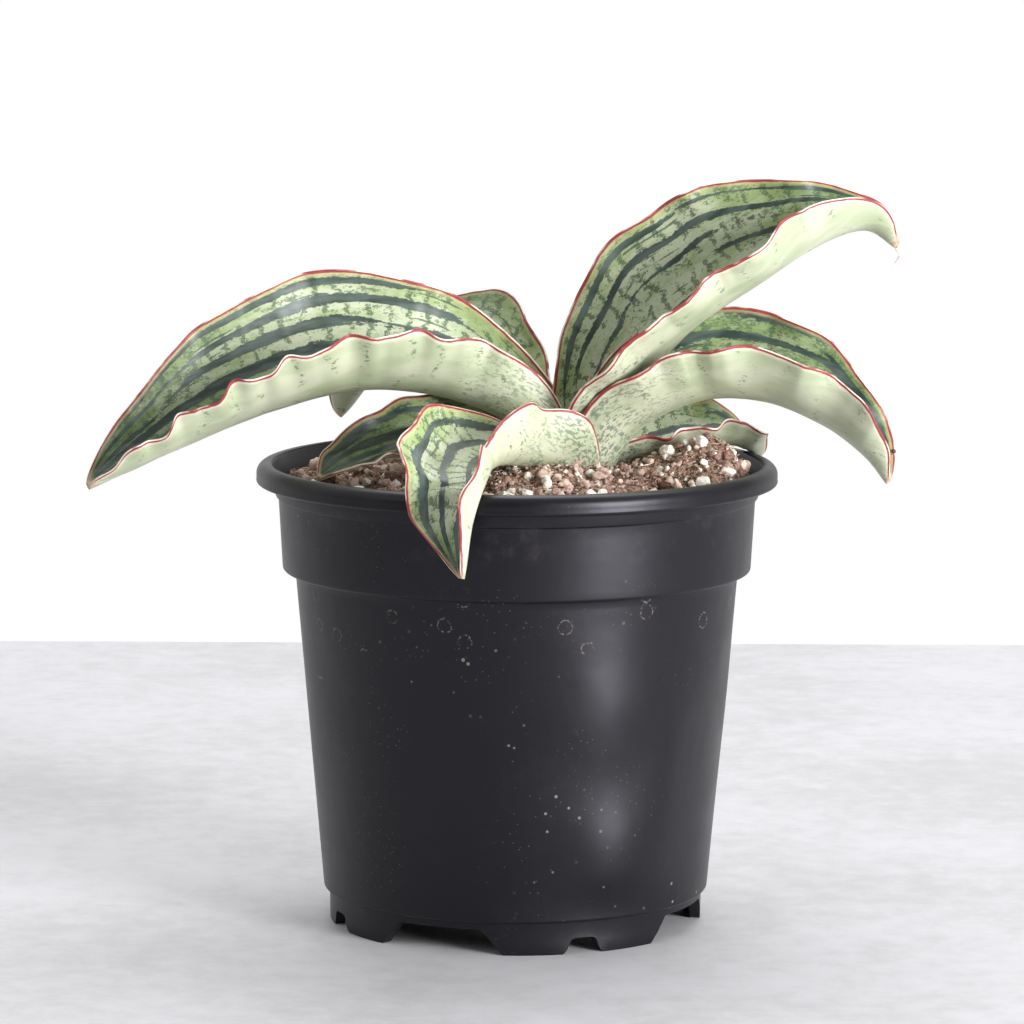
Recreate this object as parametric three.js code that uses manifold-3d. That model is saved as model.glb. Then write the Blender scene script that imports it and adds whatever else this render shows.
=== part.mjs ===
// Potted snake plant (a whale-fin type Sansevieria) in a black nursery pot.
// Millimetres, +Z up. The pot stands on z = 0; -Y is the side that the drooping leaf hangs over.
// Every leaf, the buried rhizome, the potting mix, the pot and the loose grains are separate solids.
import * as THREE from 'three';
import { mergeVertices } from 'three/addons/utils/BufferGeometryUtils.js';
import Module from 'manifold-3d';

const wasm = await Module();
wasm.setup();

// ---------------------------------------------------------------- driving dimensions
const POT = {
  rimRadius: 80,          // outside of the rolled rim: a 16 cm pot
  rimTop: 142,
  rimUnderside: 136,
  mouthRadius: 74.9,
  bandTopRadius: 73.2, bandBottomRadius: 72, bandBottom: 109.2,
  bodyTopRadius: 68, bodyBottomRadius: 59.4, bodyBottom: 10.1,
  ringOuter: 57.4, ringInner: 54.4,
  floorTop: 10.4, floorUnderside: 8.6,
  wall: 1.5,
  segments: 48,
};
const FEET = {
  firstArch: 21,          // degrees from -Y towards +X, repeated every 90 degrees
  archHalf: 5.5, archTop: 5,
  gapHalfBottom: 19.5, gapHalfTop: 14, gapTop: 7.8,
};
const DRAIN = { count: 6, radius: 4, circle: 34 };
const GAP = 0.3;          // clearance between neighbouring solids
const SOIL_LEVEL = 136.2;

// Roundings of the rim's outer shoulder and inner lip.
const RIM_ROUND = 3.2, LIP_ROUND = 1.3;
// Half thickness of a leaf at its keel near the base, and at its margin.
const KEEL_HALF = 1.6, MARGIN_HALF = 0.6;
const STATIONS = 20, ACROSS = 4;

// Each leaf: the line of its keel from the crown to the tip; the roll of its channel about that
// line; how far each side folds up at the margin (degrees); the developed half width of each side;
// and the undulation of each margin as [amplitude, waves, phase].
const LEAVES = {
  leaf_right_upright: {
    keel: [[24, 5, 137], [34, 4, 160], [50, 4, 182], [70, 5, 197], [90, 6, 209], [106, 6, 214], [116, 5, 208.5]],
    roll: [0, 6, 15, 23, 26, 18, 4],
    foldLeft: [125, 115, 92, 82, 80, 80, 75], foldRight: [100, 70, 52, 60, 68, 75, 75],
    left: [11, 29, 37.5, 39, 34, 20, 8], right: [11, 25, 31, 33, 32, 24.5, 8],
    waveLeft: [1.5, 5, 0.2], waveRight: [1.3, 5, 0.5],
  },
  leaf_left_arching: {
    keel: [[6, 6, 137], [-1, 6, 153], [-22, 4, 163], [-50, 0, 166], [-80, -6, 159], [-106, -14, 148], [-130, -22, 136.5]],
    roll: [0, -5, -13, -17, -18, -15, -8],
    foldLeft: [105, 104, 95, 90, 84, 76, 60], foldRight: [105, 95, 83, 80, 80, 75, 60],
    left: [11, 25, 32, 33, 30, 20.5, 9], right: [11, 25, 36, 38, 32, 20, 8],
    waveLeft: [1.6, 7, 0.1], waveRight: [0.8, 5, 0.4],
  },
  leaf_right_arching: {
    keel: [[26, 0, 137], [37, -1, 153.5], [56, -1, 162.7], [76, -5, 163], [94, -10, 156], [106, -13, 147], [113, -15, 138]],
    roll: [0, 7, 12, 13, 12, 8, 5],
    foldLeft: [100, 92, 84, 82, 80, 75, 60], foldRight: [100, 86, 77, 81, 84, 78, 60],
    left: [13, 24, 30, 30, 25, 16, 7], right: [18, 23, 28, 29.5, 28, 24, 9],
    waveLeft: [1, 5, 0.2], waveRight: [1.5, 5, 0.5],
  },
  leaf_front_drooping: {
    keel: [[13, -9, 137], [7, -20, 143], [-3, -36, 147], [-8, -60, 148.5], [-10, -77, 146.5], [-14, -85.5, 135], [-16, -88, 119]],
    roll: [-10, 0, 15, 30, 42, 48, 42],
    foldLeft: [85, 85, 100, 110, 100, 85, 70], foldRight: [85, 80, 95, 100, 85, 70, 60],
    left: [16, 22, 18, 9, 7.5, 8.5, 5], right: [8, 15, 26, 30, 27, 20, 5],
    waveLeft: [1, 5, 0.2], waveRight: [1, 4, 0.5],
  },
  leaf_back_left: {
    keel: [[7, 18, 137], [-7, 30, 161], [-20, 45, 173], [-34, 60, 171], [-48, 70, 160], [-57, 75, 147]],
    roll: [0, 0, 0, 0, 0, 0],
    foldLeft: [90, 80, 70, 70, 60, 50], foldRight: [90, 85, 76, 70, 60, 50],
    left: [8, 14, 20, 22, 16, 8], right: [8, 16.5, 24, 27, 18, 8],
    waveLeft: [1, 4, 0.2], waveRight: [1, 4, 0.5],
  },
  leaf_lower_left: {
    keel: [[1, 0, 137], [-8, 1, 146], [-20, 0, 150], [-36, -6, 149], [-50, -14, 145], [-60, -22, 139.5]],
    roll: [0, -15, -20, -22, -20, -10],
    foldLeft: [70, 50, 45, 45, 45, 40], foldRight: [70, 48, 42, 42, 42, 38],
    left: [8, 13, 17, 17, 13, 6], right: [7, 11, 15, 12, 8.5, 4],
    waveLeft: [1, 4, 0.2], waveRight: [1, 4, 0.5],
  },
  leaf_lower_right: {
    keel: [[27, 11, 137], [37, 14.5, 141], [48, 18.5, 143.5], [58, 22.5, 145], [68, 27.5, 144.8], [76, 31, 140]],
    roll: [0, 5, 10, 10, 10, 5],
    foldLeft: [90, 70, 65, 65, 60, 50], foldRight: [90, 70, 65, 65, 60, 50],
    left: [9, 16, 20, 19, 15, 8], right: [12, 14, 16.5, 17, 15, 8],
    waveLeft: [1, 4, 0.2], waveRight: [1.5, 4, 0.5],
  },
};

// Larger perlite granules on the surface: [x, y, size across].
const PERLITE = [
  [-3, -52, 4.4], [3, -50, 3.6], [6, -58, 3.4], [10, -46, 3.2], [22, -50, 3.6], [28, -58, 4.2],
  [38, -52, 3.4], [46, -8, 4.4], [56, -10, 4.2], [61, -14, 3.6], [64, -20, 4.2], [56, -27, 4.6],
  [60, -34, 3.4], [-60, 12, 4.0], [-48, -34, 3.8], [-41, -40, 3.4],
];
// Pieces of composted bark: [x, y, length, width, thickness, turn, tilt].
const BARK = [
  [-50, 38, 9, 5, 3, 25, 50], [-58, -6, 8, 4, 2.5, 70, 10], [-30, 55, 10, 5, 3, 140, 15],
  [46, 44, 9, 6, 3, 30, 12], [44, -34, 7, 4, 2.5, 100, 14],
];

// ---------------------------------------------------------------- small helpers
const rad = (degrees) => (degrees * Math.PI) / 180;
const clamp = (x, low, high) => Math.min(high, Math.max(low, x));
const smooth = (a, b, x) => { const s = clamp((x - a) / (b - a), 0, 1); return s * s * (3 - 2 * s); };

// Catmull-Rom through evenly spaced values.
function blend(values, t) {
  const last = values.length - 1;
  const at = (i) => (i < 0 ? 2 * values[0] - values[1]
    : i > last ? 2 * values[last] - values[last - 1] : values[i]);
  const u = clamp(t, 0, 1) * last, i = Math.min(Math.floor(u), last - 1), f = u - i;
  const [a, b, c, d] = [at(i - 1), at(i), at(i + 1), at(i + 2)];
  return 0.5 * (2 * b + (c - a) * f + (2 * a - 5 * b + 4 * c - d) * f * f + (3 * b - a - 3 * c + d) * f ** 3);
}

function toSolid(geometry) {
  const bare = geometry.clone();
  for (const name of Object.keys(bare.attributes)) if (name !== 'position') bare.deleteAttribute(name);
  const merged = mergeVertices(bare.index ? bare : mergeVertices(bare, 1e-4), 1e-4);
  return new wasm.Manifold(new wasm.Mesh({
    numProp: 3,
    vertProperties: Float32Array.from(merged.attributes.position.array),
    triVerts: Uint32Array.from(merged.index.array),
  }));
}

// A cut can leave crumbs; only the main body of a piece is kept.
function mainBody(solid) {
  const bodies = solid.decompose();
  bodies.sort((a, b) => b.volume() - a.volume());
  return bodies[0];
}

function toGeometry(solid) {
  const mesh = solid.getMesh();
  const geometry = new THREE.BufferGeometry();
  const stride = mesh.numProp, count = mesh.vertProperties.length / stride;
  const positions = new Float32Array(count * 3);
  for (let i = 0; i < count; i += 1) {
    for (let k = 0; k < 3; k += 1) positions[3 * i + k] = mesh.vertProperties[stride * i + k];
  }
  geometry.setAttribute('position', new THREE.BufferAttribute(positions, 3));
  geometry.setIndex(new THREE.BufferAttribute(Uint32Array.from(mesh.triVerts), 1));
  geometry.computeVertexNormals();
  return geometry;
}

function indexed(points, triangles) {
  const geometry = new THREE.BufferGeometry();
  geometry.setAttribute('position', new THREE.Float32BufferAttribute(points.flat(), 3));
  geometry.setIndex(triangles.flat());
  return geometry;
}

// Repeatable random numbers for the granules.
function seeded(seed) {
  let state = seed >>> 0;
  return () => {
    state = (state * 1664525 + 1013904223) >>> 0;
    return state / 4294967296;
  };
}

// ---------------------------------------------------------------- leaves
// The keel resampled at equal steps, with a frame carried along it.
function keelFrames(points) {
  const dense = [];
  for (let i = 0; i <= 600; i += 1) {
    dense.push(new THREE.Vector3(...[0, 1, 2].map((k) => blend(points.map((p) => p[k]), i / 600))));
  }
  const run = [0];
  for (let i = 1; i < dense.length; i += 1) run.push(run[i - 1] + dense[i].distanceTo(dense[i - 1]));
  const length = run[run.length - 1];
  const places = [];
  let j = 1;
  for (let i = 0; i < STATIONS; i += 1) {
    const want = (length * i) / (STATIONS - 1);
    while (j < dense.length - 1 && run[j] < want) j += 1;
    const f = clamp((want - run[j - 1]) / (run[j] - run[j - 1]), 0, 1);
    places.push(dense[j - 1].clone().lerp(dense[j], f));
  }
  const frames = [];
  let normal = new THREE.Vector3(0, 0, 1);
  for (let i = 0; i < STATIONS; i += 1) {
    const tangent = places[Math.min(i + 1, STATIONS - 1)].clone().sub(places[Math.max(i - 1, 0)]).normalize();
    normal = normal.clone().addScaledVector(tangent, -normal.dot(tangent)).normalize();
    frames.push({ place: places[i], tangent, normal, side: tangent.clone().cross(normal) });
  }
  return { frames, length };
}

// The height of the rim's crest at a radius, or nothing away from the rim.
function rimCrest(radius) {
  const outer = POT.rimRadius - RIM_ROUND, inner = POT.mouthRadius + LIP_ROUND;
  if (radius < POT.mouthRadius || radius > POT.rimRadius) return -Infinity;
  if (radius > outer) return POT.rimTop - RIM_ROUND + Math.sqrt(RIM_ROUND ** 2 - (radius - outer) ** 2);
  if (radius < inner) return POT.rimTop - LIP_ROUND + Math.sqrt(LIP_ROUND ** 2 - (inner - radius) ** 2);
  return POT.rimTop;
}

// A closed leaf blade. "grow" thickens and widens it, for the space that its neighbours leave.
function leafGeometry(leaf, grow = 0) {
  const { frames } = keelFrames(leaf.keel);
  const points = [], triangles = [];
  const loop = 2 * (2 * ACROSS + 1);
  frames.forEach(({ place, tangent, normal, side }, i) => {
    const t = i / (STATIONS - 1);
    const close = Math.sqrt(Math.max(0, 1 - clamp((t - 0.86) / 0.14, 0, 1) ** 2));
    const roll = rad(blend(leaf.roll, t));
    const up = normal.clone().multiplyScalar(Math.cos(roll)).addScaledVector(side, Math.sin(roll));
    const out = side.clone().multiplyScalar(Math.cos(roll)).addScaledVector(normal, -Math.sin(roll));
    const shift = grow ? (i === 0 ? -grow : i === STATIONS - 1 ? grow : 0) : 0;
    const upper = new Array(2 * ACROSS + 1), lower = new Array(2 * ACROSS + 1);
    for (const sign of [-1, 1]) {
      const [widths, folds, wave] = sign < 0
        ? [leaf.left, leaf.foldLeft, leaf.waveLeft] : [leaf.right, leaf.foldRight, leaf.waveRight];
      const width = Math.max(blend(widths, t) * close, 0.9) + grow;
      const fold = rad(blend(folds, t));
      const calm = clamp(t / 0.15, 0, 1) * clamp((1 - t) / 0.12, 0, 1);
      const turn = wave[1] * t + wave[2];
      const ripple = wave[0] * calm * (Math.sin(2 * Math.PI * turn)
        + 0.35 * Math.sin(2 * Math.PI * (1.9 * wave[1] * t + 2.3 * wave[2] + 0.2)));
      let across = 0, rise = 0;
      for (let k = 0; k <= ACROSS; k += 1) {
        const v = k / ACROSS;
        if (k > 0) {
          const middle = fold * ((k - 0.5) / ACROSS) ** 0.7;
          across += (Math.cos(middle) * width) / ACROSS;
          rise += (Math.sin(middle) * width) / ACROSS;
        }
        const angle = fold * v ** 0.7;
        const face = up.clone().multiplyScalar(Math.cos(angle)).addScaledVector(out, -sign * Math.sin(angle));
        const slim = 1 - 0.45 * t;
        const half = (KEEL_HALF + (MARGIN_HALF - KEEL_HALF) * v ** 1.4) * slim + grow;
        const spot = place.clone().addScaledVector(out, sign * across).addScaledVector(up, rise)
          .addScaledVector(face, ripple * v ** 3).addScaledVector(tangent, shift);
        const rest = rimCrest(Math.hypot(spot.x, spot.y)) + 2 * GAP + half - grow;
        if (spot.z < rest && spot.z > POT.rimUnderside) spot.z = rest;
        upper[ACROSS + sign * k] = spot.clone().addScaledVector(face, half);
        lower[ACROSS + sign * k] = spot.clone().addScaledVector(face, -half);
      }
    }
    for (const p of upper) points.push(p.toArray());
    for (const p of lower.reverse()) points.push(p.toArray());
  });
  for (let i = 0; i < STATIONS - 1; i += 1) {
    for (let k = 0; k < loop; k += 1) {
      const a = i * loop + k, b = i * loop + ((k + 1) % loop), c = a + loop, d = b + loop;
      triangles.push([a, b, d], [a, d, c]);
    }
  }
  // End caps: a strip between the upper and lower edge.
  const n = 2 * ACROSS + 1;
  for (let k = 0; k < n - 1; k += 1) {
    const a = k, b = k + 1, c = loop - 2 - k, d = loop - 1 - k;
    triangles.push([a, c, b], [a, d, c]);
    const e = (STATIONS - 1) * loop;
    triangles.push([e + a, e + b, e + c], [e + a, e + c, e + d]);
  }
  return indexed(points, triangles);
}

// ---------------------------------------------------------------- pot
function potProfile() {
  const p = POT, w = p.wall;
  return [
    [p.ringInner, 0], [p.ringOuter - 0.2, 0], [p.ringOuter, 0.5], [p.ringOuter + 0.2, p.bodyBottom],
    [p.bodyBottomRadius - 0.3, p.bodyBottom], [p.bodyBottomRadius, p.bodyBottom + 1.6],
    [p.bodyTopRadius, p.bandBottom - 1.4], [p.bodyTopRadius + 1, p.bandBottom - 0.6],
    [p.bandBottomRadius - 0.8, p.bandBottom - 0.4], [p.bandBottomRadius, p.bandBottom + 1],
    [p.bandTopRadius, p.rimUnderside - 5], [p.bandTopRadius + 1.6, p.rimUnderside - 1.4],
    [p.bandTopRadius + 2.4, p.rimUnderside - 0.2], [p.rimRadius - 0.7, p.rimUnderside],
    [p.rimRadius, p.rimUnderside + 0.9], [p.rimRadius - 0.1, p.rimUnderside + 3],
    [p.rimRadius - 1, p.rimTop - 1], [p.rimRadius - 2.5, p.rimTop], [p.mouthRadius + 1, p.rimTop],
    [p.mouthRadius, p.rimTop - 0.7], [p.mouthRadius - 0.9, p.rimTop - 3.4],
    [p.bandTopRadius - w, p.rimUnderside - 5], [p.bandBottomRadius - w, p.bandBottom + 1.2],
    [p.bodyTopRadius - w, p.bandBottom - 1.2], [p.bodyBottomRadius - w - 0.3, p.floorTop + 1.5],
    [p.bodyBottomRadius - w - 1.8, p.floorTop],
  ];
}

function lathe(profile, segments) {
  const geometry = new THREE.LatheGeometry(profile.map(([r, z]) => new THREE.Vector2(r, z)), segments);
  geometry.rotateX(Math.PI / 2);
  return geometry;
}

// A wedge standing on the ground, between two angles at the bottom and two at the top.
function wedge(centre, halfBottom, halfTop, inner, outer, bottom, top) {
  const corner = (r, degrees, z) => [r * Math.sin(rad(degrees)), -r * Math.cos(rad(degrees)), z];
  const points = [], steps = 4;
  for (let i = 0; i <= steps; i += 1) {
    const s = (2 * i) / steps - 1;
    points.push(corner(inner, centre + s * halfBottom, bottom), corner(outer, centre + s * halfBottom, bottom),
      corner(outer, centre + s * halfTop, top), corner(inner, centre + s * halfTop, top));
  }
  const triangles = [[0, 1, 2], [0, 2, 3]];
  const e = 4 * steps;
  triangles.push([e, e + 2, e + 1], [e, e + 3, e + 2]);
  for (let i = 0; i < steps; i += 1) {
    const a = 4 * i;
    for (let k = 0; k < 4; k += 1) {
      const m = (k + 1) % 4;
      triangles.push([a + k, a + 4 + m, a + m], [a + k, a + 4 + k, a + 4 + m]);
    }
  }
  return indexed(points, triangles);
}

function potSolid() {
  const p = POT;
  const profile = potProfile();
  const closed = [...profile, [0, p.floorTop]];
  const start = [[0, p.floorUnderside], [p.ringInner - 0.4, p.floorUnderside]];
  let solid = toSolid(lathe([...start, ...closed], p.segments));
  for (let i = 0; i < 4; i += 1) {
    const arch = FEET.firstArch + 90 * i;
    solid = solid.subtract(toSolid(wedge(arch, FEET.archHalf, FEET.archHalf * 0.6, p.ringInner - 6, p.ringOuter + 6, -1, FEET.archTop)));
    solid = solid.subtract(toSolid(wedge(arch + 45, FEET.gapHalfBottom, FEET.gapHalfTop, p.ringInner - 6, p.ringOuter + 6, -1, FEET.gapTop)));
  }
  for (let i = 0; i < DRAIN.count; i += 1) {
    const hole = new THREE.CylinderGeometry(DRAIN.radius, DRAIN.radius, 8, 12);
    hole.rotateX(Math.PI / 2);
    const angle = rad((360 * i) / DRAIN.count);
    hole.translate(DRAIN.circle * Math.cos(angle), DRAIN.circle * Math.sin(angle), p.floorTop - 1);
    solid = solid.subtract(toSolid(hole));
  }
  return solid;
}

// ---------------------------------------------------------------- potting mix
// Height of the surface: nearly level, a little dome round the crown, a mound on the right.
function soilHeight(x, y) {
  const r = Math.hypot(x, y);
  const hill = (cx, cy, sx, sy, h) => h * Math.exp(-0.5 * (((x - cx) / sx) ** 2 + ((y - cy) / sy) ** 2));
  const edge = 1 - smooth(58, 73, r);
  const rough = 0.5 * Math.sin(0.31 * x + 0.8) * Math.sin(0.27 * y + 2.1)
    + 0.35 * Math.sin(0.53 * x - 0.41 * y);
  return SOIL_LEVEL + edge * (hill(8, -22, 20, 16, 8) + hill(14, 8, 16, 12, 3) + rough)
    + (1 - smooth(66, 73.4, r)) * hill(57, -4, 12, 13, 13.5);
}

function innerWall(z) {
  const p = POT, w = p.wall;
  const knots = [[p.floorTop, p.bodyBottomRadius - w - 1.8], [p.floorTop + 1.5, p.bodyBottomRadius - w - 0.3],
    [p.bandBottom - 1.2, p.bodyTopRadius - w], [p.bandBottom + 1.2, p.bandBottomRadius - w],
    [p.rimUnderside - 5, p.bandTopRadius - w], [p.rimTop - 3.4, p.mouthRadius - 0.9]];
  for (let i = 1; i < knots.length; i += 1) {
    const [z0, r0] = knots[i - 1], [z1, r1] = knots[i];
    if (z <= z1) return r0 + ((r1 - r0) * (z - z0)) / (z1 - z0);
  }
  return knots[knots.length - 1][1];
}

function soilGeometry() {
  const around = 36, p = POT, points = [], triangles = [];
  const slack = GAP + 0.35;             // covers the flats of both faceted walls
  const top = [8, 20, 32, 42, 50, 57, 64, 69, innerWall(SOIL_LEVEL) - slack];
  const levels = [p.rimUnderside - 5, p.bandBottom + 1.9, p.bandBottom - 0.6, p.floorTop + 1.6, p.floorTop + GAP];
  points.push([0, 0, soilHeight(0, 0)]);
  for (const r of top) {
    for (let i = 0; i < around; i += 1) {
      const a = (2 * Math.PI * i) / around, x = r * Math.cos(a), y = r * Math.sin(a);
      points.push([x, y, soilHeight(x, y)]);
    }
  }
  for (const z of levels) {
    const r = Math.min(innerWall(z), innerWall(z - 0.7)) - slack;
    for (let i = 0; i < around; i += 1) {
      const a = (2 * Math.PI * i) / around;
      points.push([r * Math.cos(a), r * Math.sin(a), z]);
    }
  }
  const rings = top.length + levels.length;
  for (let i = 0; i < around; i += 1) {
    const j = (i + 1) % around;
    triangles.push([0, 1 + i, 1 + j]);
    for (let k = 0; k < rings - 1; k += 1) {
      const a = 1 + k * around + i, b = 1 + k * around + j, c = a + around, d = b + around;
      triangles.push([a, c, d], [a, d, b]);
    }
    triangles.push([1 + (rings - 1) * around + i, 1 + rings * around, 1 + (rings - 1) * around + j]);
  }
  points.push([0, 0, p.floorTop + GAP]);
  return indexed(points, triangles);
}

// ---------------------------------------------------------------- rhizome and roots
const CROWN = { x: 17, y: 5, top: 135.6 };
const ROOTS = [
  [[-2, 4, 124], [-22, 8, 112], [-36, 6, 88], [-40, 2, 58]],
  [[10, 16, 122], [6, 34, 108], [10, 44, 82], [6, 46, 52]],
  [[32, 14, 122], [46, 26, 104], [44, 32, 74]],
  [[34, 0, 122], [50, -8, 106], [52, -14, 78], [44, -18, 46]],
  [[20, -8, 122], [18, -28, 108], [14, -42, 84], [16, -42, 54]],
  [[4, -4, 120], [-10, -20, 104], [-20, -30, 76], [-18, -34, 44]],
  [[16, 4, 114], [14, 2, 92], [18, 4, 64], [12, 8, 34]],
];

function rootGeometry(points, radius) {
  const ring = new THREE.Shape();
  for (let i = 0; i < 6; i += 1) {
    const a = (Math.PI * i) / 3, x = radius * Math.cos(a), y = radius * Math.sin(a);
    if (i === 0) ring.moveTo(x, y); else ring.lineTo(x, y);
  }
  ring.closePath();
  const path = new THREE.CatmullRomCurve3(points.map((q) => new THREE.Vector3(...q)));
  return new THREE.ExtrudeGeometry(ring, { steps: 5, bevelEnabled: false, extrudePath: path });
}

function rhizomeSolid(grow = 0) {
  const body = new THREE.SphereGeometry(1, 14, 8);
  body.rotateX(Math.PI / 2);
  body.scale(20 + grow, 15 + grow, 12 + grow);
  body.translate(CROWN.x, CROWN.y, CROWN.top - 12);
  let solid = toSolid(body);
  ROOTS.forEach((points, i) => {
    solid = solid.add(toSolid(rootGeometry(points, 1.4 + 0.15 * (i % 3) + grow)));
  });
  return solid;
}

// ---------------------------------------------------------------- loose pieces on the surface
function granule(size, random, grow = 0) {
  const geometry = mergeVertices(new THREE.IcosahedronGeometry(size / 2, 0).deleteAttribute('normal').deleteAttribute('uv'), 1e-4);
  const position = geometry.attributes.position;
  for (let i = 0; i < position.count; i += 1) {
    const f = 0.82 + 0.3 * random() + (2 * grow) / size;
    position.setXYZ(i, position.getX(i) * f, position.getY(i) * f, position.getZ(i) * f * 0.85);
  }
  return geometry;
}

function chip([x, y, length, width, thick, turn, tilt], grow = 0) {
  const outline = new THREE.Shape();
  const a = length / 2 + grow, b = width / 2 + grow;
  outline.moveTo(-a, -b * 0.5);
  outline.lineTo(-a * 0.4, -b);
  outline.lineTo(a * 0.8, -b * 0.8);
  outline.lineTo(a, b * 0.2);
  outline.lineTo(a * 0.3, b);
  outline.lineTo(-a * 0.7, b * 0.8);
  outline.closePath();
  const geometry = new THREE.ExtrudeGeometry(outline, { depth: thick + 2 * grow, bevelEnabled: false });
  geometry.translate(0, 0, -thick / 2 - grow);
  geometry.rotateY(rad(tilt));
  geometry.rotateZ(rad(turn));
  geometry.translate(x, y, soilHeight(x, y) + 0.35 * thick);
  return geometry;
}

// A dried strip of old leaf sheath standing in the heart of the crown.
const STRIP = { points: [[17, 4, 150], [17.5, 3, 158], [20, 2, 165], [22, 2, 168]], half: 0.8 };
function stripGeometry(grow = 0) {
  const h = STRIP.half + grow, thin = 0.3 + grow;
  const section = new THREE.Shape();
  section.moveTo(-thin, -h);
  section.lineTo(thin, -h);
  section.lineTo(thin, h);
  section.lineTo(-thin, h);
  section.closePath();
  const path = new THREE.CatmullRomCurve3(STRIP.points.map((q) => new THREE.Vector3(...q)));
  return new THREE.ExtrudeGeometry(section, { steps: 8, bevelEnabled: false, extrudePath: path });
}

// ---------------------------------------------------------------- materials
const look = (color, roughness) => new THREE.MeshStandardMaterial({ color, roughness, metalness: 0 });
const MATERIALS = {
  pot: look(0x17181a, 0.38),
  soil: look(0x3b2a22, 0.95),
  leaf: look(0x93a98a, 0.5),
  rhizome: look(0xb98a4e, 0.7),
  perlite: look(0xe9e4da, 0.9),
  bark: look(0x33211a, 0.9),
  dry: look(0xa9673f, 0.8),
};

// ---------------------------------------------------------------- assembly
const group = new THREE.Group();
function place(name, solid, material) {
  const mesh = new THREE.Mesh(toGeometry(solid), material);
  mesh.name = name;
  group.add(mesh);
}

const pot = potSolid();
place('pot', pot, MATERIALS.pot);
const potSpace = toSolid(lathe([
  [POT.bandTopRadius - 1, 128], [POT.bandTopRadius + 4, 135.4], [POT.rimRadius + GAP, 135.6],
  [POT.rimRadius + GAP, POT.rimTop - 1], [POT.rimRadius - 2.4, POT.rimTop + GAP],
  [POT.mouthRadius + 1, POT.rimTop + GAP], [POT.mouthRadius - 2, POT.rimTop - 3],
  [POT.bandTopRadius - 1, 128],
], POT.segments));

const strip = toSolid(stripGeometry());
place('dried_sheath_strip', strip, MATERIALS.dry);

// Inner leaves stay whole; each outer one is cut back where it clasps them.
const spaces = [toSolid(stripGeometry(GAP))];
for (const [name, leaf] of Object.entries(LEAVES)) {
  let solid = toSolid(leafGeometry(leaf));
  for (const space of spaces) solid = solid.subtract(space);
  solid = mainBody(solid.subtract(potSpace));
  spaces.push(toSolid(leafGeometry(leaf, GAP)));
  place(name, solid, MATERIALS.leaf);
}

let rhizome = rhizomeSolid();
for (const space of spaces) rhizome = rhizome.subtract(space);
place('rhizome', mainBody(rhizome), MATERIALS.rhizome);

const random = seeded(7);
const grains = PERLITE.map(([x, y, size], i) => {
  const shape = seeded(100 + i);
  const turn = random() * Math.PI * 2;
  const make = (grow) => granule(size, seeded(100 + i), grow).rotateZ(turn)
    .translate(x, y, soilHeight(x, y) + 0.12 * size);
  shape();
  return { solid: toSolid(make(0)), space: toSolid(make(GAP)) };
});
const chips = BARK.map((b) => ({ solid: toSolid(chip(b)), space: toSolid(chip(b, GAP)) }));

// The crown sits in a well of the potting mix that is open to the air between the leaf bases.
const well = new THREE.CylinderGeometry(8, 8, 24, 10).rotateX(Math.PI / 2).translate(CROWN.x, CROWN.y, 142);
let soil = toSolid(soilGeometry()).subtract(rhizomeSolid(GAP)).subtract(toSolid(well));
for (const space of [...spaces, ...grains.map((g) => g.space), ...chips.map((c) => c.space)]) {
  soil = soil.subtract(space);
}
place('potting_mix', mainBody(soil), MATERIALS.soil);
grains.forEach((g, i) => place(`perlite_grain_${String(i + 1).padStart(2, '0')}`, g.solid, MATERIALS.perlite));
chips.forEach((c, i) => place(`bark_chip_${i + 1}`, c.solid, MATERIALS.bark));

// The origin is under the middle of the whole plant, on the ground.
const box = new THREE.Box3().setFromObject(group);
const middle = box.getCenter(new THREE.Vector3());
group.position.set(-middle.x, -middle.y, -box.min.z);
group.updateMatrixWorld(true);

export default group;
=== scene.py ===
# Potted snake plant in a black nursery pot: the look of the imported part.
# Metres, +Z up. The row's origin is on the ground; the pot's own axis is read from its CAD box.
import math
import bmesh
import bpy
import numpy as np
from mathutils import Matrix, Vector


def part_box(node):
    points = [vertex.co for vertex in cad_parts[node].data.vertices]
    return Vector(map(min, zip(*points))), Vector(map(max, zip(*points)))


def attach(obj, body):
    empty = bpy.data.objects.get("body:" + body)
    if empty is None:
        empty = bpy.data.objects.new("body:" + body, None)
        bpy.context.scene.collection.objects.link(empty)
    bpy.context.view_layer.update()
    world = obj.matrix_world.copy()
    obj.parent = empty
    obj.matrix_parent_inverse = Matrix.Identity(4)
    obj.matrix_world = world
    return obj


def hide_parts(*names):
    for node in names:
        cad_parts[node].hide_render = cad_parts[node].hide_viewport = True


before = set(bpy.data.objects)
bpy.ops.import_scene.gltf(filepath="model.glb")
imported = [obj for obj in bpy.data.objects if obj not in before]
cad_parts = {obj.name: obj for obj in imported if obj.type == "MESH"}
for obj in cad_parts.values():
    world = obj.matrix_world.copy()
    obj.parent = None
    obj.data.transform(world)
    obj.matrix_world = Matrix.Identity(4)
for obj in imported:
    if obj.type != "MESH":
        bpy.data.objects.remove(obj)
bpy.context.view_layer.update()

MM = 0.001
pot_low, pot_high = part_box("pot")
AXIS = np.array([(pot_low[0] + pot_high[0]) / 2, (pot_low[1] + pot_high[1]) / 2, 0.0])
NODE_NAMES = list(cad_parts)

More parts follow.
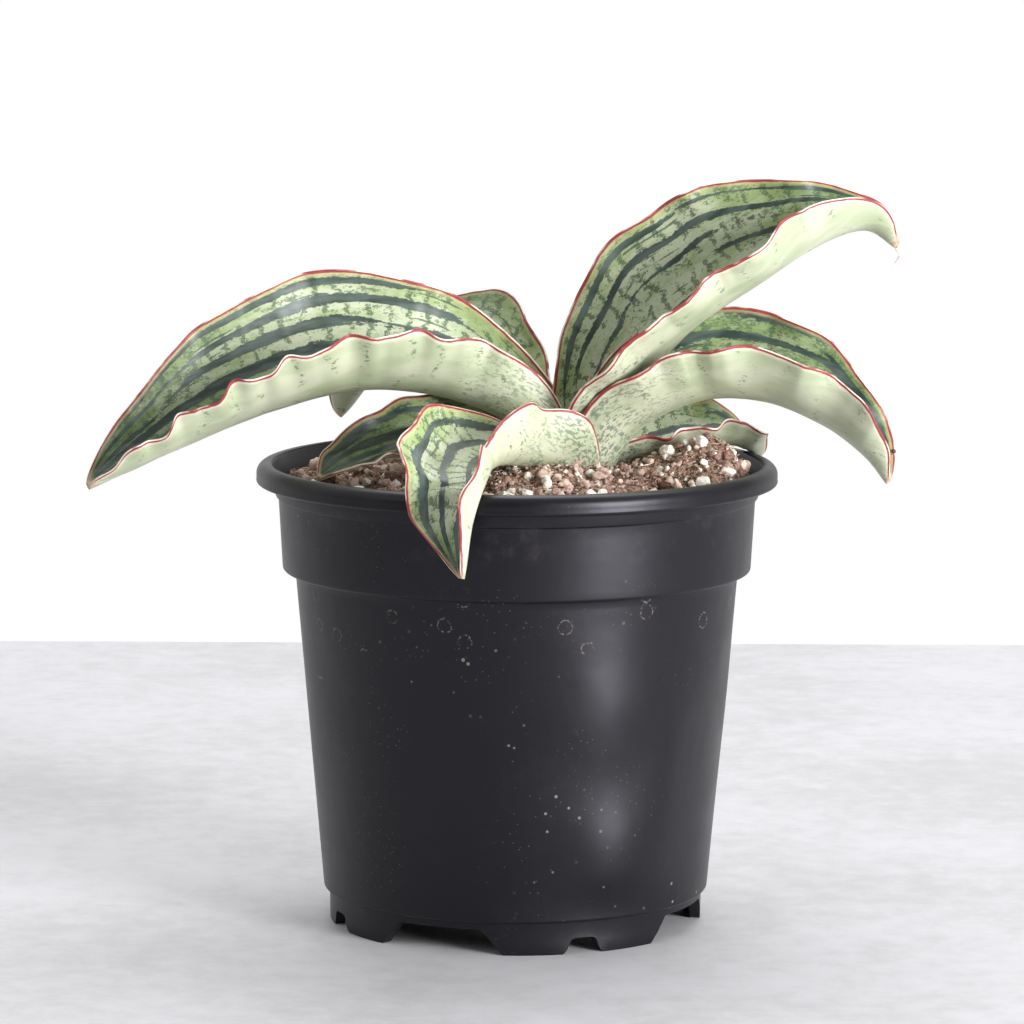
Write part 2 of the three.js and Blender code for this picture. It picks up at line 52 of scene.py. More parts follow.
# ------------------------------------------------------------------ driving values, millimetres
RIM_RADIUS, RIM_TOP, RIM_UNDER, MOUTH = 80.0, 142.0, 136.0, 74.9
BAND_TOP, BAND_LOW, BAND_EDGE = 73.2, 72.0, 109.2
BODY_TOP, BODY_LOW, BODY_EDGE = 68.0, 59.4, 10.1
RING_OUT, RING_IN, FLOOR_TOP, FLOOR_UNDER, WALL = 57.4, 54.4, 10.4, 8.6, 1.5
ARCH_AT, ARCH_HALF, ARCH_TOP = 21.0, 5.5, 5.0
FOOT_GAP_LOW, FOOT_GAP_HIGH, FOOT_GAP_TOP = 19.5, 14.0, 7.8
DRAINS, DRAIN_CIRCLE, DRAIN_RADIUS = 6, 34.0, 4.0
SOIL_LEVEL = 136.2
KEEL_HALF, MARGIN_HALF = 1.6, 0.55
RIM_ROUND, LIP_ROUND = 3.2, 1.3

# Each leaf as in the CAD model: keel line, roll of the channel, fold of each side at the margin,
# developed half widths, and two kinds of wave along each margin as (height, waves, phase): the
# undulation across the skin, and the scallops that make the blade wider and narrower.
LEAVES = {
    "leaf_right_upright": dict(
        keel=[(24, 5, 137), (34, 4, 160), (50, 4, 182), (70, 5, 197), (90, 6, 209), (106, 6, 214),
              (116, 5, 208.5)],
        roll=[0, 6, 15, 23, 26, 18, 4],
        fold=([125, 115, 92, 82, 80, 80, 75], [100, 70, 52, 60, 68, 75, 75]),
        width=([11, 29, 37.5, 39, 34, 20, 8], [11, 25, 31, 33, 32, 24.5, 8]),
        wave=((1.5, 5, 0.2), (1.3, 5, 0.5)),
        edge=((1.6, 5, 0.2), (1.2, 6, 0.4))),
    "leaf_left_arching": dict(
        keel=[(6, 6, 137), (-1, 6, 153), (-22, 4, 163), (-50, 0, 166), (-80, -6, 159),
              (-106, -14, 148), (-130, -22, 136.5)],
        roll=[0, -5, -13, -17, -18, -15, -8],
        fold=([105, 104, 95, 90, 84, 76, 60], [105, 95, 83, 80, 80, 75, 60]),
        width=([11, 25, 32, 33, 30, 20.5, 9], [11, 25, 36, 38, 32, 20, 8]),
        wave=((2.1, 9, 0.1), (0.8, 5, 0.4)),
        edge=((2.2, 9, 0.1), (0.9, 4, 0.3))),
    "leaf_right_arching": dict(
        keel=[(26, 0, 137), (37, -1, 153.5), (56, -1, 162.7), (76, -5, 163), (94, -10, 156),
              (106, -13, 147), (113, -15, 138)],
        roll=[0, 7, 12, 13, 12, 8, 5],
        fold=([100, 92, 84, 82, 80, 75, 60], [100, 86, 77, 81, 84, 78, 60]),
        width=([13, 24, 30, 30, 25, 16, 7], [18, 23, 28, 29.5, 28, 24, 9]),
        wave=((1.0, 5, 0.2), (1.5, 5, 0.5)),
        edge=((0.6, 5, 0.0), (1.3, 6, 0.2))),
    "leaf_front_drooping": dict(
        keel=[(13, -9, 137), (7, -20, 143), (-3, -36, 147), (-8, -60, 148.5), (-10, -77, 146.5),
              (-14, -85.5, 135), (-16, -88, 119)],
        roll=[-10, 0, 15, 30, 42, 48, 42],
        fold=([85, 85, 100, 110, 100, 85, 70], [85, 80, 95, 100, 85, 70, 60]),
        width=([16, 22, 18, 9, 7.5, 8.5, 5], [8, 15, 26, 30, 27, 20, 5]),
        wave=((1.0, 5, 0.2), (1.0, 4, 0.5)),
        edge=((1.6, 6, 0.3), (1.4, 5, 0.1))),
    "leaf_back_left": dict(
        keel=[(7, 18, 137), (-7, 30, 161), (-20, 45, 173), (-34, 60, 171), (-48, 70, 160),
              (-57, 75, 147)],
        roll=[0, 0, 0, 0, 0, 0],
        fold=([90, 80, 70, 70, 60, 50], [90, 85, 76, 70, 60, 50]),
        width=([8, 14, 20, 22, 16, 8], [8, 16.5, 24, 27, 18, 8]),
        wave=((1.0, 4, 0.2), (1.0, 4, 0.5)),
        edge=((0.8, 4, 0.0), (1.2, 4, 0.3))),
    "leaf_lower_left": dict(
        keel=[(1, 0, 137), (-8, 1, 146), (-20, 0, 150), (-36, -6, 149), (-50, -14, 145),
              (-60, -22, 139.5)],
        roll=[0, -15, -20, -22, -20, -10],
        fold=([70, 50, 45, 45, 45, 40], [70, 48, 42, 42, 42, 38]),
        width=([8, 13, 17, 17, 13, 6], [7, 11, 15, 12, 8.5, 4]),
        wave=((1.0, 4, 0.2), (1.0, 4, 0.5)),
        edge=((0.9, 5, 0.2), (1.0, 5, 0.6))),
    "leaf_lower_right": dict(
        keel=[(27, 11, 137), (37, 14.5, 141), (48, 18.5, 143.5), (58, 22.5, 145), (68, 27.5, 144.8),
              (76, 31, 140)],
        roll=[0, 5, 10, 10, 10, 5],
        fold=([90, 70, 65, 65, 60, 50], [90, 70, 65, 65, 60, 50]),
        width=([9, 16, 20, 19, 15, 8], [12, 14, 16.5, 17, 15, 8]),
        wave=((1.0, 4, 0.2), (1.5, 4, 0.5)),
        edge=((1.0, 5, 0.4), (1.2, 6, 0.1))),
}


# ------------------------------------------------------------------ numbers
def smooth(a, b, x):
    s = np.clip((np.asarray(x, float) - a) / (b - a), 0, 1)
    return s * s * (3 - 2 * s)


def spline(values, t):
    """Catmull-Rom through evenly spaced values, at t in 0..1."""
    v = np.asarray(values, float)
    flat = v.ndim == 1
    v = v[:, None] if flat else v
    ends = np.vstack([2 * v[0] - v[1], v, 2 * v[-1] - v[-2]])
    u = np.clip(np.asarray(t, float), 0, 1) * (len(v) - 1)
    i = np.minimum(u.astype(int), len(v) - 2)
    f = (u - i)[:, None]
    a, b, c, d = ends[i], ends[i + 1], ends[i + 2], ends[i + 3]
    out = 0.5 * (2 * b + (c - a) * f + (2 * a - 5 * b + 4 * c - d) * f ** 2
                 + (3 * b - a - 3 * c + d) * f ** 3)
    return out[:, 0] if flat else out


def noise(points, cell, seed):
    """Smooth random values in -1..1 on a lattice of the given cell, same every run."""
    rng = np.random.RandomState(seed)
    order, value = rng.permutation(256), rng.uniform(-1, 1, 256)
    p = np.asarray(points, float) / cell
    low = np.floor(p).astype(int)
    f = p - low
    f = f * f * (3 - 2 * f)
    total = np.zeros(len(p))
    for corner in range(8):
        step = np.array([corner & 1, (corner >> 1) & 1, corner >> 2])
        q = low + step
        index = order[(order[(order[q[:, 0] & 255] + q[:, 1]) & 255] + q[:, 2]) & 255]
        total += value[index] * np.prod(np.where(step, f, 1 - f), axis=1)
    return total


def layered(points, cell, octaves, seed, gain=0.5):
    total, size = np.zeros(len(points)), 1.0
    for k in range(octaves):
        total += size * noise(points, cell / 2 ** k, seed + k)
        size *= gain
    return total


# ------------------------------------------------------------------ meshes
def new_mesh(name, points, faces, attributes=None, smooth_shade=True):
    """points in millimetres about the pot's axis."""
    mesh = bpy.data.meshes.new(name)
    place = np.asarray(points, float) * MM + AXIS
    mesh.from_pydata([tuple(p) for p in place], [], [tuple(int(i) for i in f) for f in faces])
    for key, (kind, values) in (attributes or {}).items():
        layer = mesh.attributes.new(key, kind, "POINT")
        field = "value" if kind == "FLOAT" else "vector" if kind == "FLOAT_VECTOR" else "color"
        layer.data.foreach_set(field, np.asarray(values, np.float32).ravel())
    mesh.validate()
    if smooth_shade:
        mesh.polygons.foreach_set("use_smooth", [True] * len(mesh.polygons))
    mesh.update()
    obj = bpy.data.objects.new(name, mesh)
    bpy.context.scene.collection.objects.link(obj)
    return obj


def piece(obj, material, nodes=()):
    obj.data.materials.clear()
    obj.data.materials.append(material)
    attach(obj, "root")
    if nodes:
        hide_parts(*nodes)
    return obj


def grid_faces(rows, columns, closed=False):
    last = columns if closed else columns - 1
    faces = []
    for i in range(rows - 1):
        for k in range(last):
            a, b = i * columns + k, i * columns + (k + 1) % columns
            faces.append((a, b, b + columns, a + columns))
    return faces


# ------------------------------------------------------------------ leaf blades
RIM_STEPS = 3          # extra points round each margin


def keel_frames(points, stations):
    dense = spline(points, np.linspace(0, 1, 900))
    run = np.concatenate([[0], np.cumsum(np.linalg.norm(np.diff(dense, axis=0), axis=1))])
    at = np.linspace(0, run[-1], stations)
    place = np.stack([np.interp(at, run, dense[:, k]) for k in range(3)], 1)
    tangent = np.gradient(place, axis=0)
    tangent /= np.linalg.norm(tangent, axis=1)[:, None]
    normal = np.zeros_like(tangent)
    n = np.array([0.0, 0.0, 1.0])
    for i in range(stations):
        n = n - tangent[i] * (n @ tangent[i])
        n /= np.linalg.norm(n)
        normal[i] = n
    return place, tangent, normal, np.cross(tangent, normal), run[-1]


def rim_crest(radius):
    """The height of the rim's crest at each radius, far down away from the rim."""
    outer, inner = RIM_RADIUS - RIM_ROUND, MOUTH + LIP_ROUND
    over = RIM_ROUND - np.sqrt(np.clip(RIM_ROUND ** 2 - (radius - outer) ** 2, 0, None))
    under = LIP_ROUND - np.sqrt(np.clip(LIP_ROUND ** 2 - (inner - radius) ** 2, 0, None))
    drop = np.where(radius > outer, over, np.where(radius < inner, under, 0))
    return np.where((radius < MOUTH) | (radius > RIM_RADIUS), -1000.0, RIM_TOP - drop)


def scallops(bumps, t):
    """How far a margin swings out and in, millimetres: uneven waves that grow towards the tip."""
    height, count, phase = bumps
    wave = np.sin(2 * np.pi * (count * t + phase))
    uneven = 0.75 + 0.45 * np.sin(2 * np.pi * (0.37 * count * t + 2.3 * phase))
    return height * (0.45 + 0.55 * t) * uneven * wave


def leaf_blade(name, leaf, seed, stations=340, across=26):
    place, tangent, normal, side, length = keel_frames(leaf["keel"], stations)
    t = np.linspace(0, 1, stations)
    roll = np.radians(spline(leaf["roll"], t))[:, None]
    up = normal * np.cos(roll) + side * np.sin(roll)
    out = side * np.cos(roll) - normal * np.sin(roll)
    close = np.sqrt(np.clip(1 - np.clip((t - 0.86) / 0.14, 0, 1) ** 2, 0, 1))
    calm = np.clip(t / 0.15, 0, 1) * np.clip((1 - t) / 0.12, 0, 1)
    slim = (1 - 0.45 * t)[:, None]
    n = 2 * across + 1
    middle, face = np.zeros((stations, n, 3)), np.zeros((stations, n, 3))
    half, span, edge = np.zeros((stations, n)), np.zeros((stations, n)), np.zeros((stations, n))
    lane = np.zeros((stations, n))
    for k, sign in enumerate((-1, 1)):
        scallop = scallops(leaf["edge"][k], t) * calm
        width = np.maximum(spline(leaf["width"][k], t) * close + scallop * close, 0.9)[:, None]
        fold = np.radians(spline(leaf["fold"][k], t))[:, None]
        v = np.linspace(0, 1, across + 1)[None]
        between = fold * ((v[:, 1:] + v[:, :-1]) / 2) ** 0.7
        zero = np.zeros((stations, 1))
        reach = np.concatenate([zero, np.cumsum(np.cos(between) / across, 1)], 1) * width
        rise = np.concatenate([zero, np.cumsum(np.sin(between) / across, 1)], 1) * width
        angle = fold * v ** 0.7
        height, waves, phase = leaf["wave"][k]
        turn = 2 * np.pi
        ripple = height * calm * (np.sin(turn * (waves * t + phase))
                                  + 0.35 * np.sin(turn * (1.9 * waves * t + 2.3 * phase + 0.2)))
        ripple = ripple - 0.35 * scallop
        fine = np.stack([t * length, np.full(stations, 7.0 * sign), np.zeros(stations)], 1)
        ripple = ripple + calm * 0.45 * noise(fine, 6.0, seed) + calm * 0.2 * noise(fine, 2.2, seed + 1)
        facing = up[:, None] * np.cos(angle)[..., None] - out[:, None] * (sign * np.sin(angle))[..., None]
        spot = (place[:, None] + out[:, None] * (sign * reach)[..., None] + up[:, None] * rise[..., None]
                + facing * (ripple[:, None] * v ** 3)[..., None])
        rest = rim_crest(np.hypot(spot[..., 0], spot[..., 1])) + 0.3 + (KEEL_HALF + 0.3) * slim
        low = (spot[..., 2] < rest) & (spot[..., 2] > RIM_UNDER)
        spot[..., 2] = np.where(low, rest, spot[..., 2])
        index = across + sign * np.arange(across + 1)
        middle[:, index], face[:, index] = spot, facing
        half[:, index] = (KEEL_HALF + (MARGIN_HALF - KEEL_HALF) * v ** 1.4) * slim
        span[:, index] = sign * v * width
        lane[:, index] = sign * v * np.mean(leaf["width"][k])
        edge[:, index] = (1 - v) * width
    # Shallow lengthwise furrows and a slightly uneven skin.
    flat = np.stack([np.repeat(t * length, n) / 9, span.ravel(), np.zeros(stations * n)], 1)
    skin = (0.10 * noise(flat, 2.4, seed + 5) + 0.05 * noise(flat, 1.1, seed + 6)).reshape(stations, n)
    fade = np.clip(edge / 2.5, 0, 1)
    upper = middle + face * (half + skin * fade)[..., None]
    lower = middle - face * (half + 0.8 * skin * fade)[..., None]
    # The margin is a rounded bead between the two skins.
    rims = {}
    for k, (column, sign) in enumerate(((0, -1), (n - 1, 1))):
        outward = np.cross(tangent, face[:, column]) * sign
        bend = np.linspace(0, np.pi, RIM_STEPS + 2)[1:-1]
        rims[k] = [middle[:, column] + (face[:, column] * np.cos(b) + outward * np.sin(b) * 1.1)
                   * half[:, column, None] for b in bend]
    columns = ([upper[:, i] for i in range(n)] + rims[1] + [lower[:, i] for i in range(n - 1, -1, -1)]
               + rims[0][::-1])
    loop = len(columns)
    points = np.stack(columns, 1).reshape(-1, 3)
    rim_edge = [-1.0] * RIM_STEPS
    order = np.arange(n)

    def around(values, right, left):
        rows = [values[:, i] for i in order] + [np.full(stations, r) for r in right]
        rows += [values[:, i] for i in order[::-1]] + [np.full(stations, r) for r in left]
        return np.stack(rows, 1).ravel()

    wide = np.abs(span).max()
    cross = around(span, [wide] * RIM_STEPS, [-wide] * RIM_STEPS)
    lanes = around(lane, [np.mean(leaf["width"][1])] * RIM_STEPS, [-np.mean(leaf["width"][0])] * RIM_STEPS)
    margin = around(edge, rim_edge, rim_edge)
    top = np.tile(np.r_[np.ones(n), np.full(RIM_STEPS, 0.5), np.zeros(n), np.full(RIM_STEPS, 0.5)], stations)
    along = np.repeat(t * length, loop)
    dry = np.repeat(smooth(0.975, 0.995, t), loop)
    faces = [tuple(reversed(f)) for f in grid_faces(stations, loop, closed=True)]
    for row, flip in ((0, False), (stations - 1, True)):
        cap = [row * loop + i for i in range(loop)]
        faces.append(tuple(cap if not flip else cap[::-1]))
    obj = new_mesh(name, points, faces, {
        "leaf": ("FLOAT_VECTOR", np.stack([along, cross, margin], 1)),
        "lane": ("FLOAT", lanes),
        "run": ("FLOAT", np.repeat(t, loop)),
        "upper": ("FLOAT", top),
        "dry": ("FLOAT", dry),
    })
    return obj


# ------------------------------------------------------------------ material nodes
class Nodes:
    """Short names for building a material's node tree."""

    def __init__(self, name):
        self.material = bpy.data.materials.new(name)
        self.material.use_nodes = True
        self.tree = self.material.node_tree
        self.tree.nodes.clear()
        self.surface = self.tree.nodes.new("ShaderNodeBsdfPrincipled")
        output = self.tree.nodes.new("ShaderNodeOutputMaterial")
        self.tree.links.new(self.surface.outputs[0], output.inputs["Surface"])

    def feed(self, socket, value):
        if isinstance(value, bpy.types.NodeSocket):
            self.tree.links.new(value, socket)
        else:
            socket.default_value = value

    def attribute(self, name, out="Fac"):
        node = self.tree.nodes.new("ShaderNodeAttribute")
        node.attribute_name = name
        return node.outputs[out]

    def place(self):
        return self.tree.nodes.new("ShaderNodeTexCoord").outputs["Object"]

    def split(self, vector):
        return self.tree_node("ShaderNodeSeparateXYZ", [vector]).outputs

    def tree_node(self, kind, values):
        node = self.tree.nodes.new(kind)
        for socket, value in zip(node.inputs, values):
            self.feed(socket, value)
        return node

    def vector(self, x, y, z=0.0):
        return self.tree_node("ShaderNodeCombineXYZ", [x, y, z]).outputs[0]

    def math(self, operation, a, b=0.0, clamp=False):
        node = self.tree.nodes.new("ShaderNodeMath")
        node.operation, node.use_clamp = operation, clamp
        self.feed(node.inputs[0], a)
        self.feed(node.inputs[1], b)
        return node.outputs[0]

    def plus(self, a, b, clamp=False):
        return self.math("ADD", a, b, clamp)

    def minus(self, a, b):
        return self.math("SUBTRACT", a, b)

    def times(self, a, b):
        return self.math("MULTIPLY", a, b)

    def over(self, a, b):
        return self.math("DIVIDE", a, b)

    def larger(self, a, b):
        return self.math("MAXIMUM", a, b)

    def size(self, a):
        return self.math("ABSOLUTE", a)

    def part(self, a):
        return self.math("FRACT", a)

    def noise(self, vector, scale, detail=2.0, rough=0.5):
        node = self.tree.nodes.new("ShaderNodeTexNoise")
        self.feed(node.inputs["Vector"], vector)
        node.inputs["Scale"].default_value = scale
        node.inputs["Detail"].default_value = detail
        node.inputs["Roughness"].default_value = rough
        return node.outputs[0]

    def cells(self, vector, scale, out="Distance"):
        node = self.tree.nodes.new("ShaderNodeTexVoronoi")
        self.feed(node.inputs["Vector"], vector)
        node.inputs["Scale"].default_value = scale
        return node.outputs[out]

    def step(self, value, low, high, to_low=0.0, to_high=1.0):
        """A smooth step from low to high."""
        node = self.tree.nodes.new("ShaderNodeMapRange")
        node.interpolation_type = "SMOOTHSTEP"
        for socket, given in zip(node.inputs, (value, low, high, to_low, to_high)):
            self.feed(socket, given)
        return node.outputs[0]

    def mix(self, factor, a, b):
        node = self.tree.nodes.new("ShaderNodeMix")
        node.data_type = "RGBA"
        self.feed(node.inputs[0], factor)
        for socket, value in ((node.inputs[6], a), (node.inputs[7], b)):
            self.feed(socket, (*value, 1.0) if isinstance(value, tuple) and len(value) == 3 else value)
        return node.outputs[2]

    def bump(self, height, distance, strength=1.0, base=None):
        node = self.tree.nodes.new("ShaderNodeBump")
        node.inputs["Strength"].default_value = strength
        node.inputs["Distance"].default_value = distance
        self.feed(node.inputs["Height"], height)
        if base is not None:
            self.feed(node.inputs["Normal"], base)
        return node.outputs[0]

    def finish(self, **inputs):
        for key, value in inputs.items():
            socket = self.surface.inputs[key.replace("_", " ")]
            colour = socket.type == "RGBA" and isinstance(value, tuple)
            self.feed(socket, (*value, 1.0) if colour else value)
        return self.material


def srgb(r, g, b):
    """A display colour, 0 to 255, as linear light."""
    return tuple(((c / 255 + 0.055) / 1.055) ** 2.4 if c > 10 else c / 255 / 12.92 for c in (r, g, b))


def leaf_material(name, seed, stripe, mottle_and_shade_from):
    """Grey-green skin with long dark stripes above, rows of dark dashes below, and a red margin."""
    m = Nodes(name)
    along, across, edge = m.split(m.attribute("leaf", "Vector"))
    upper, dry, lane, run = (m.attribute(key) for key in ("upper", "dry", "lane", "run"))
    shift = float(seed) * 13.7

    def on_skin(along_mm, across_mm, offset=0.0, detail=2.0, rough=0.5, cross=across):
        spot = m.vector(m.over(along, along_mm), m.over(cross, across_mm), shift + offset)
        return m.noise(spot, 1.0, detail, rough)

    def centred(value, size):
        return m.times(m.minus(value, 0.5), size)

    def from_line(value):
        """How far a value is from the middle between two whole numbers, 0 to 0.5."""
        return m.size(m.minus(m.part(value), 0.5))

    # Darker mottle towards the tip, the leaf's own; where its start is below zero it covers the whole blade
    # and is also painted shade.
    tip = m.step(run, mottle_and_shade_from, 0.98)
    # Ground: pale grey-green, yellower near the margins and the tip.
    ground = m.plus(on_skin(13, 5, 1.0, 4, 0.65), m.step(edge, 2.0, 9.0, 0.10, -0.03))
    ground = m.plus(ground, m.times(tip, 0.07))
    top = m.mix(m.step(ground, 0.40, 0.66), srgb(194, 202, 174), srgb(160, 178, 122))
    top = m.mix(m.times(tip, 0.80), top,
                m.mix(m.step(ground, 0.45, 0.62), srgb(122, 140, 94), srgb(86, 114, 54)))
    top = m.mix(m.step(on_skin(1.6, 1.1, 2.0, 3, 0.7), 0.55, 0.72, 0.0, 0.35), top, srgb(146, 168, 118))
    # Long dark stripes that follow the veins, swell, fade and break up.
    warp = m.plus(centred(on_skin(90, 16, 3.0, 1, 0.4, lane), 0.9),
                  centred(on_skin(16, 5, 4.0, 2, 0.5), 0.30))
    position = m.plus(m.over(lane, stripe), m.plus(warp, shift))
    presence = m.step(on_skin(50, 3.6, 5.0, 2, 0.5, lane), 0.34, 0.58, -0.14, 0.25)
    presence = m.plus(presence, m.times(tip, 0.20))
    ragged = m.plus(centred(on_skin(1.3, 1.0, 6.0, 4, 0.75), 0.34),
                    centred(on_skin(6.0, 1.0, 7.0, 2, 0.6), 0.14))
    fade = m.times(m.step(edge, 0.6, 3.0, 0.16, 0.0), 1.0)
    reach = m.minus(m.plus(presence, ragged), fade)
    stripes = m.step(m.minus(reach, from_line(position)), -0.015, 0.035)
    # Finer side stripes between them.
    second = m.plus(m.over(lane, stripe * 0.42), m.times(warp, 2.0))
    thin = m.step(on_skin(22, 3.0, 8.0, 2, 0.5, lane), 0.52, 0.68, -0.10, 0.16)
    thin = m.step(m.minus(m.plus(thin, ragged), from_line(second)), -0.02, 0.05)
    # Cross ties like the rungs of a ladder, made of specks.
    rung = m.plus(m.over(along, 5.2), m.plus(centred(on_skin(30, 9, 9.0, 2), 1.8),
                                                               centred(on_skin(3, 1.6, 10.0, 2), 0.45)))
    speck = on_skin(0.75, 0.6, 11.0, 4, 0.78)
    rung = m.times(m.step(from_line(rung), 0.26, 0.05), m.step(on_skin(12, 5, 12.0, 2), 0.38, 0.54))
    rung = m.step(m.plus(speck, m.times(rung, 0.20)), 0.61, 0.655)
    # Speckled patches, thicker towards the margins and the tip.
    patch = m.plus(on_skin(8, 4, 19.0, 3, 0.6), m.plus(m.times(tip, 0.12),
                                                              m.step(edge, 1.0, 8.0, 0.06, 0.0)))
    freckle = m.plus(on_skin(1.2, 0.9, 17.0, 4, 0.78), m.step(patch, 0.44, 0.70, -0.12, 0.06))
    freckle = m.step(freckle, 0.53, 0.58)
    deep = m.mix(m.step(on_skin(9, 2.5, 23.0, 3), 0.35, 0.65), srgb(44, 60, 56), srgb(84, 98, 94))
    green = m.mix(on_skin(3, 2, 24.0, 2), srgb(58, 84, 58), srgb(96, 120, 84))
    top = m.mix(m.times(freckle, 0.75), top, green)
    top = m.mix(m.times(rung, 0.85), top, green)
    top = m.mix(m.times(thin, 0.80), top, m.mix(0.5, srgb(52, 70, 58), srgb(78, 96, 78)))
    top = m.mix(m.times(stripes, 0.97), top, deep)
    # Under skin: paler, with rows of dark dashes that crowd into a mottle at the base.
    pale = m.mix(m.step(on_skin(18, 8, 29.0, 2), 0.35, 0.65), srgb(194, 199, 173), srgb(172, 182, 150))
    base = m.step(along, 10.0, 52.0, 1.0, 0.0)
    row = m.plus(m.over(along, 10.5), centred(on_skin(14, 9, 31.0, 2), 1.6))
    row = m.step(from_line(row), 0.16, 0.05)
    cover = m.larger(m.times(row, m.step(on_skin(10, 6, 33.0, 2), 0.42, 0.60)),
                   m.times(base, m.step(on_skin(7, 5, 34.0, 2), 0.30, 0.55)))
    dashes = m.plus(on_skin(1.5, 0.9, 37.0, 3, 0.7), m.times(base, 0.05))
    dashes = m.times(m.step(dashes, 0.53, 0.59), cover)
    pale = m.mix(m.times(dashes, 0.72), pale, m.mix(base, srgb(74, 98, 62), srgb(70, 90, 86)))
    skin = m.mix(m.step(upper, 0.3, 0.7), pale, top)
    # Margin: an orange tint, a red line and a whitish papery bead.
    inner = m.plus(edge, centred(on_skin(2.4, 500, 41.0, 3), 0.6))
    tint = m.times(m.step(inner, 1.7, 0.8), m.step(upper, 0.3, 0.7, 0.45, 0.50))
    skin = m.mix(tint, skin, m.mix(m.step(upper, 0.3, 0.7), srgb(240, 226, 206), srgb(206, 184, 134)))
    red = m.mix(on_skin(7, 500, 43.0, 2), srgb(170, 66, 68), srgb(120, 40, 46))
    skin = m.mix(m.step(inner, 0.58, 0.30), skin, red)
    papery = m.times(m.step(edge, -0.4, -0.7), m.step(on_skin(10, 500, 47.0, 3), 0.42, 0.54))
    skin = m.mix(papery, skin, srgb(240, 226, 214))
    skin = m.mix(dry, skin, m.mix(on_skin(2, 2, 53.0, 3), srgb(120, 84, 58), srgb(232, 212, 184)))
    furrow, pits = on_skin(16, 0.55, 59.0, 2), on_skin(0.5, 0.5, 61.0, 2)
    relief = m.plus(m.times(furrow, 0.7), m.times(pits, 0.3))
    rough = m.plus(m.step(stripes, 0, 1, 0.44, 0.36), m.times(pits, 0.12))
    return m.finish(Base_Color=skin, Roughness=rough, Normal=m.bump(relief, 0.00014, 0.6),
                    Specular_IOR_Level=0.5, Subsurface_Weight=0.03, Subsurface_Radius=(1.0, 1.0, 0.4),
                    Subsurface_Scale=0.0015)


# Millimetres between stripes where they aren't 4.5 apart.
STRIPE_SPACING = {"leaf_front_drooping": 5.6, "leaf_lower_left": 5.0}
# How far along each leaf the dark mottle of its tip begins. The starts below zero for leaf_right_arching and
# leaf_lower_left spread the darker mottle over the whole blade: partly the leaf's own mottle, partly painted
# shade for these two leaves, which lie in the shade of the leaves above them.
MOTTLE_AND_SHADE_FROM = {"leaf_left_arching": 0.40, "leaf_right_arching": -0.2, "leaf_lower_left": -0.1,
               "leaf_back_left": 0.2, "leaf_front_drooping": 0.80}


# ------------------------------------------------------------------ pot
def arc(cx, cz, radius, start, end, steps):
    """Points of a rounded corner in the pot's profile."""
    return [(cx + radius * math.cos(math.radians(a)), cz + radius * math.sin(math.radians(a)))
            for a in np.linspace(start, end, steps)]


def pot_profile():
    outer = [(RING_IN, 0.0), (RING_OUT - 0.5, 0.0)]
    outer += arc(RING_OUT - 0.3, 0.3, 0.3, -60, 0, 3)
    outer += [(RING_OUT + 0.1, 4), (RING_OUT + 0.2, BODY_EDGE - 0.5)]
    outer += [(RING_OUT + 0.35, BODY_EDGE - 0.1), (RING_OUT + 0.7, BODY_EDGE)]
    outer += arc(BODY_LOW - 0.9, BODY_EDGE + 0.9, 0.9, -80, 5, 6)
    for s in np.linspace(0.02, 0.98, 36):
        outer.append((BODY_LOW + (BODY_TOP - BODY_LOW) * s,
                      BODY_EDGE + 0.9 + (BAND_EDGE - 2.2 - BODY_EDGE) * s))
    outer += [(BODY_TOP, BAND_EDGE - 1.0), (BODY_TOP + 0.25, BAND_EDGE - 0.5),
              (BODY_TOP + 0.8, BAND_EDGE - 0.2)]
    outer += [(BAND_LOW - 1.4, BAND_EDGE)]
    outer += arc(BAND_LOW - 0.9, BAND_EDGE + 0.9, 0.9, -85, 0, 6)
    for s in np.linspace(0.1, 1.0, 6):
        outer.append((BAND_LOW + (BAND_TOP - BAND_LOW) * s,
                      BAND_EDGE + 0.9 + (RIM_UNDER - 5.6 - BAND_EDGE) * s))
    outer += [(BAND_TOP + 0.02, RIM_UNDER - 4.6), (BAND_TOP + 0.25, RIM_UNDER - 4.3),
              (BAND_TOP + 0.75, RIM_UNDER - 4.1)]
    outer += [(BAND_TOP + 0.95, RIM_UNDER - 3.7), (BAND_TOP + 1.0, RIM_UNDER - 1.4),
              (BAND_TOP + 1.3, RIM_UNDER - 0.5),
              (BAND_TOP + 2.0, RIM_UNDER - 0.1), (BAND_TOP + 3.0, RIM_UNDER)]
    outer += [(RIM_RADIUS - 1.5, RIM_UNDER)]
    outer += arc(RIM_RADIUS - 0.85, RIM_UNDER + 0.9, 0.9, -86, 0, 8)
    outer += [(RIM_RADIUS - 0.05, RIM_UNDER + 1.5), (RIM_RADIUS, RIM_UNDER + 2.2)]
    outer += arc(RIM_RADIUS - 3.2, RIM_TOP - 3.2, 3.2, 8, 88, 10)
    outer += arc(MOUTH + 1.3, RIM_TOP - 1.3, 1.3, 92, 170, 7)
    inner = [(MOUTH - 0.4, RIM_TOP - 2.4), (BAND_TOP - WALL + 1.4, RIM_UNDER - 0.5),
             (BAND_TOP - WALL, RIM_UNDER - 5),
             (BAND_LOW - WALL, BAND_EDGE + 1.2), (BODY_TOP - WALL, BAND_EDGE - 1.2),
             (BODY_LOW - WALL - 0.3, FLOOR_TOP + 1.5), (BODY_LOW - WALL - 1.8, FLOOR_TOP), (0.0, FLOOR_TOP)]
    return [(0.0, FLOOR_UNDER), (RING_IN - 0.4, FLOOR_UNDER)] + outer + inner


def face_outwards(mesh):
    bm = bmesh.new()
    bm.from_mesh(mesh)
    bmesh.ops.recalc_face_normals(bm, faces=bm.faces)
    bm.to_mesh(mesh)
    bm.free()


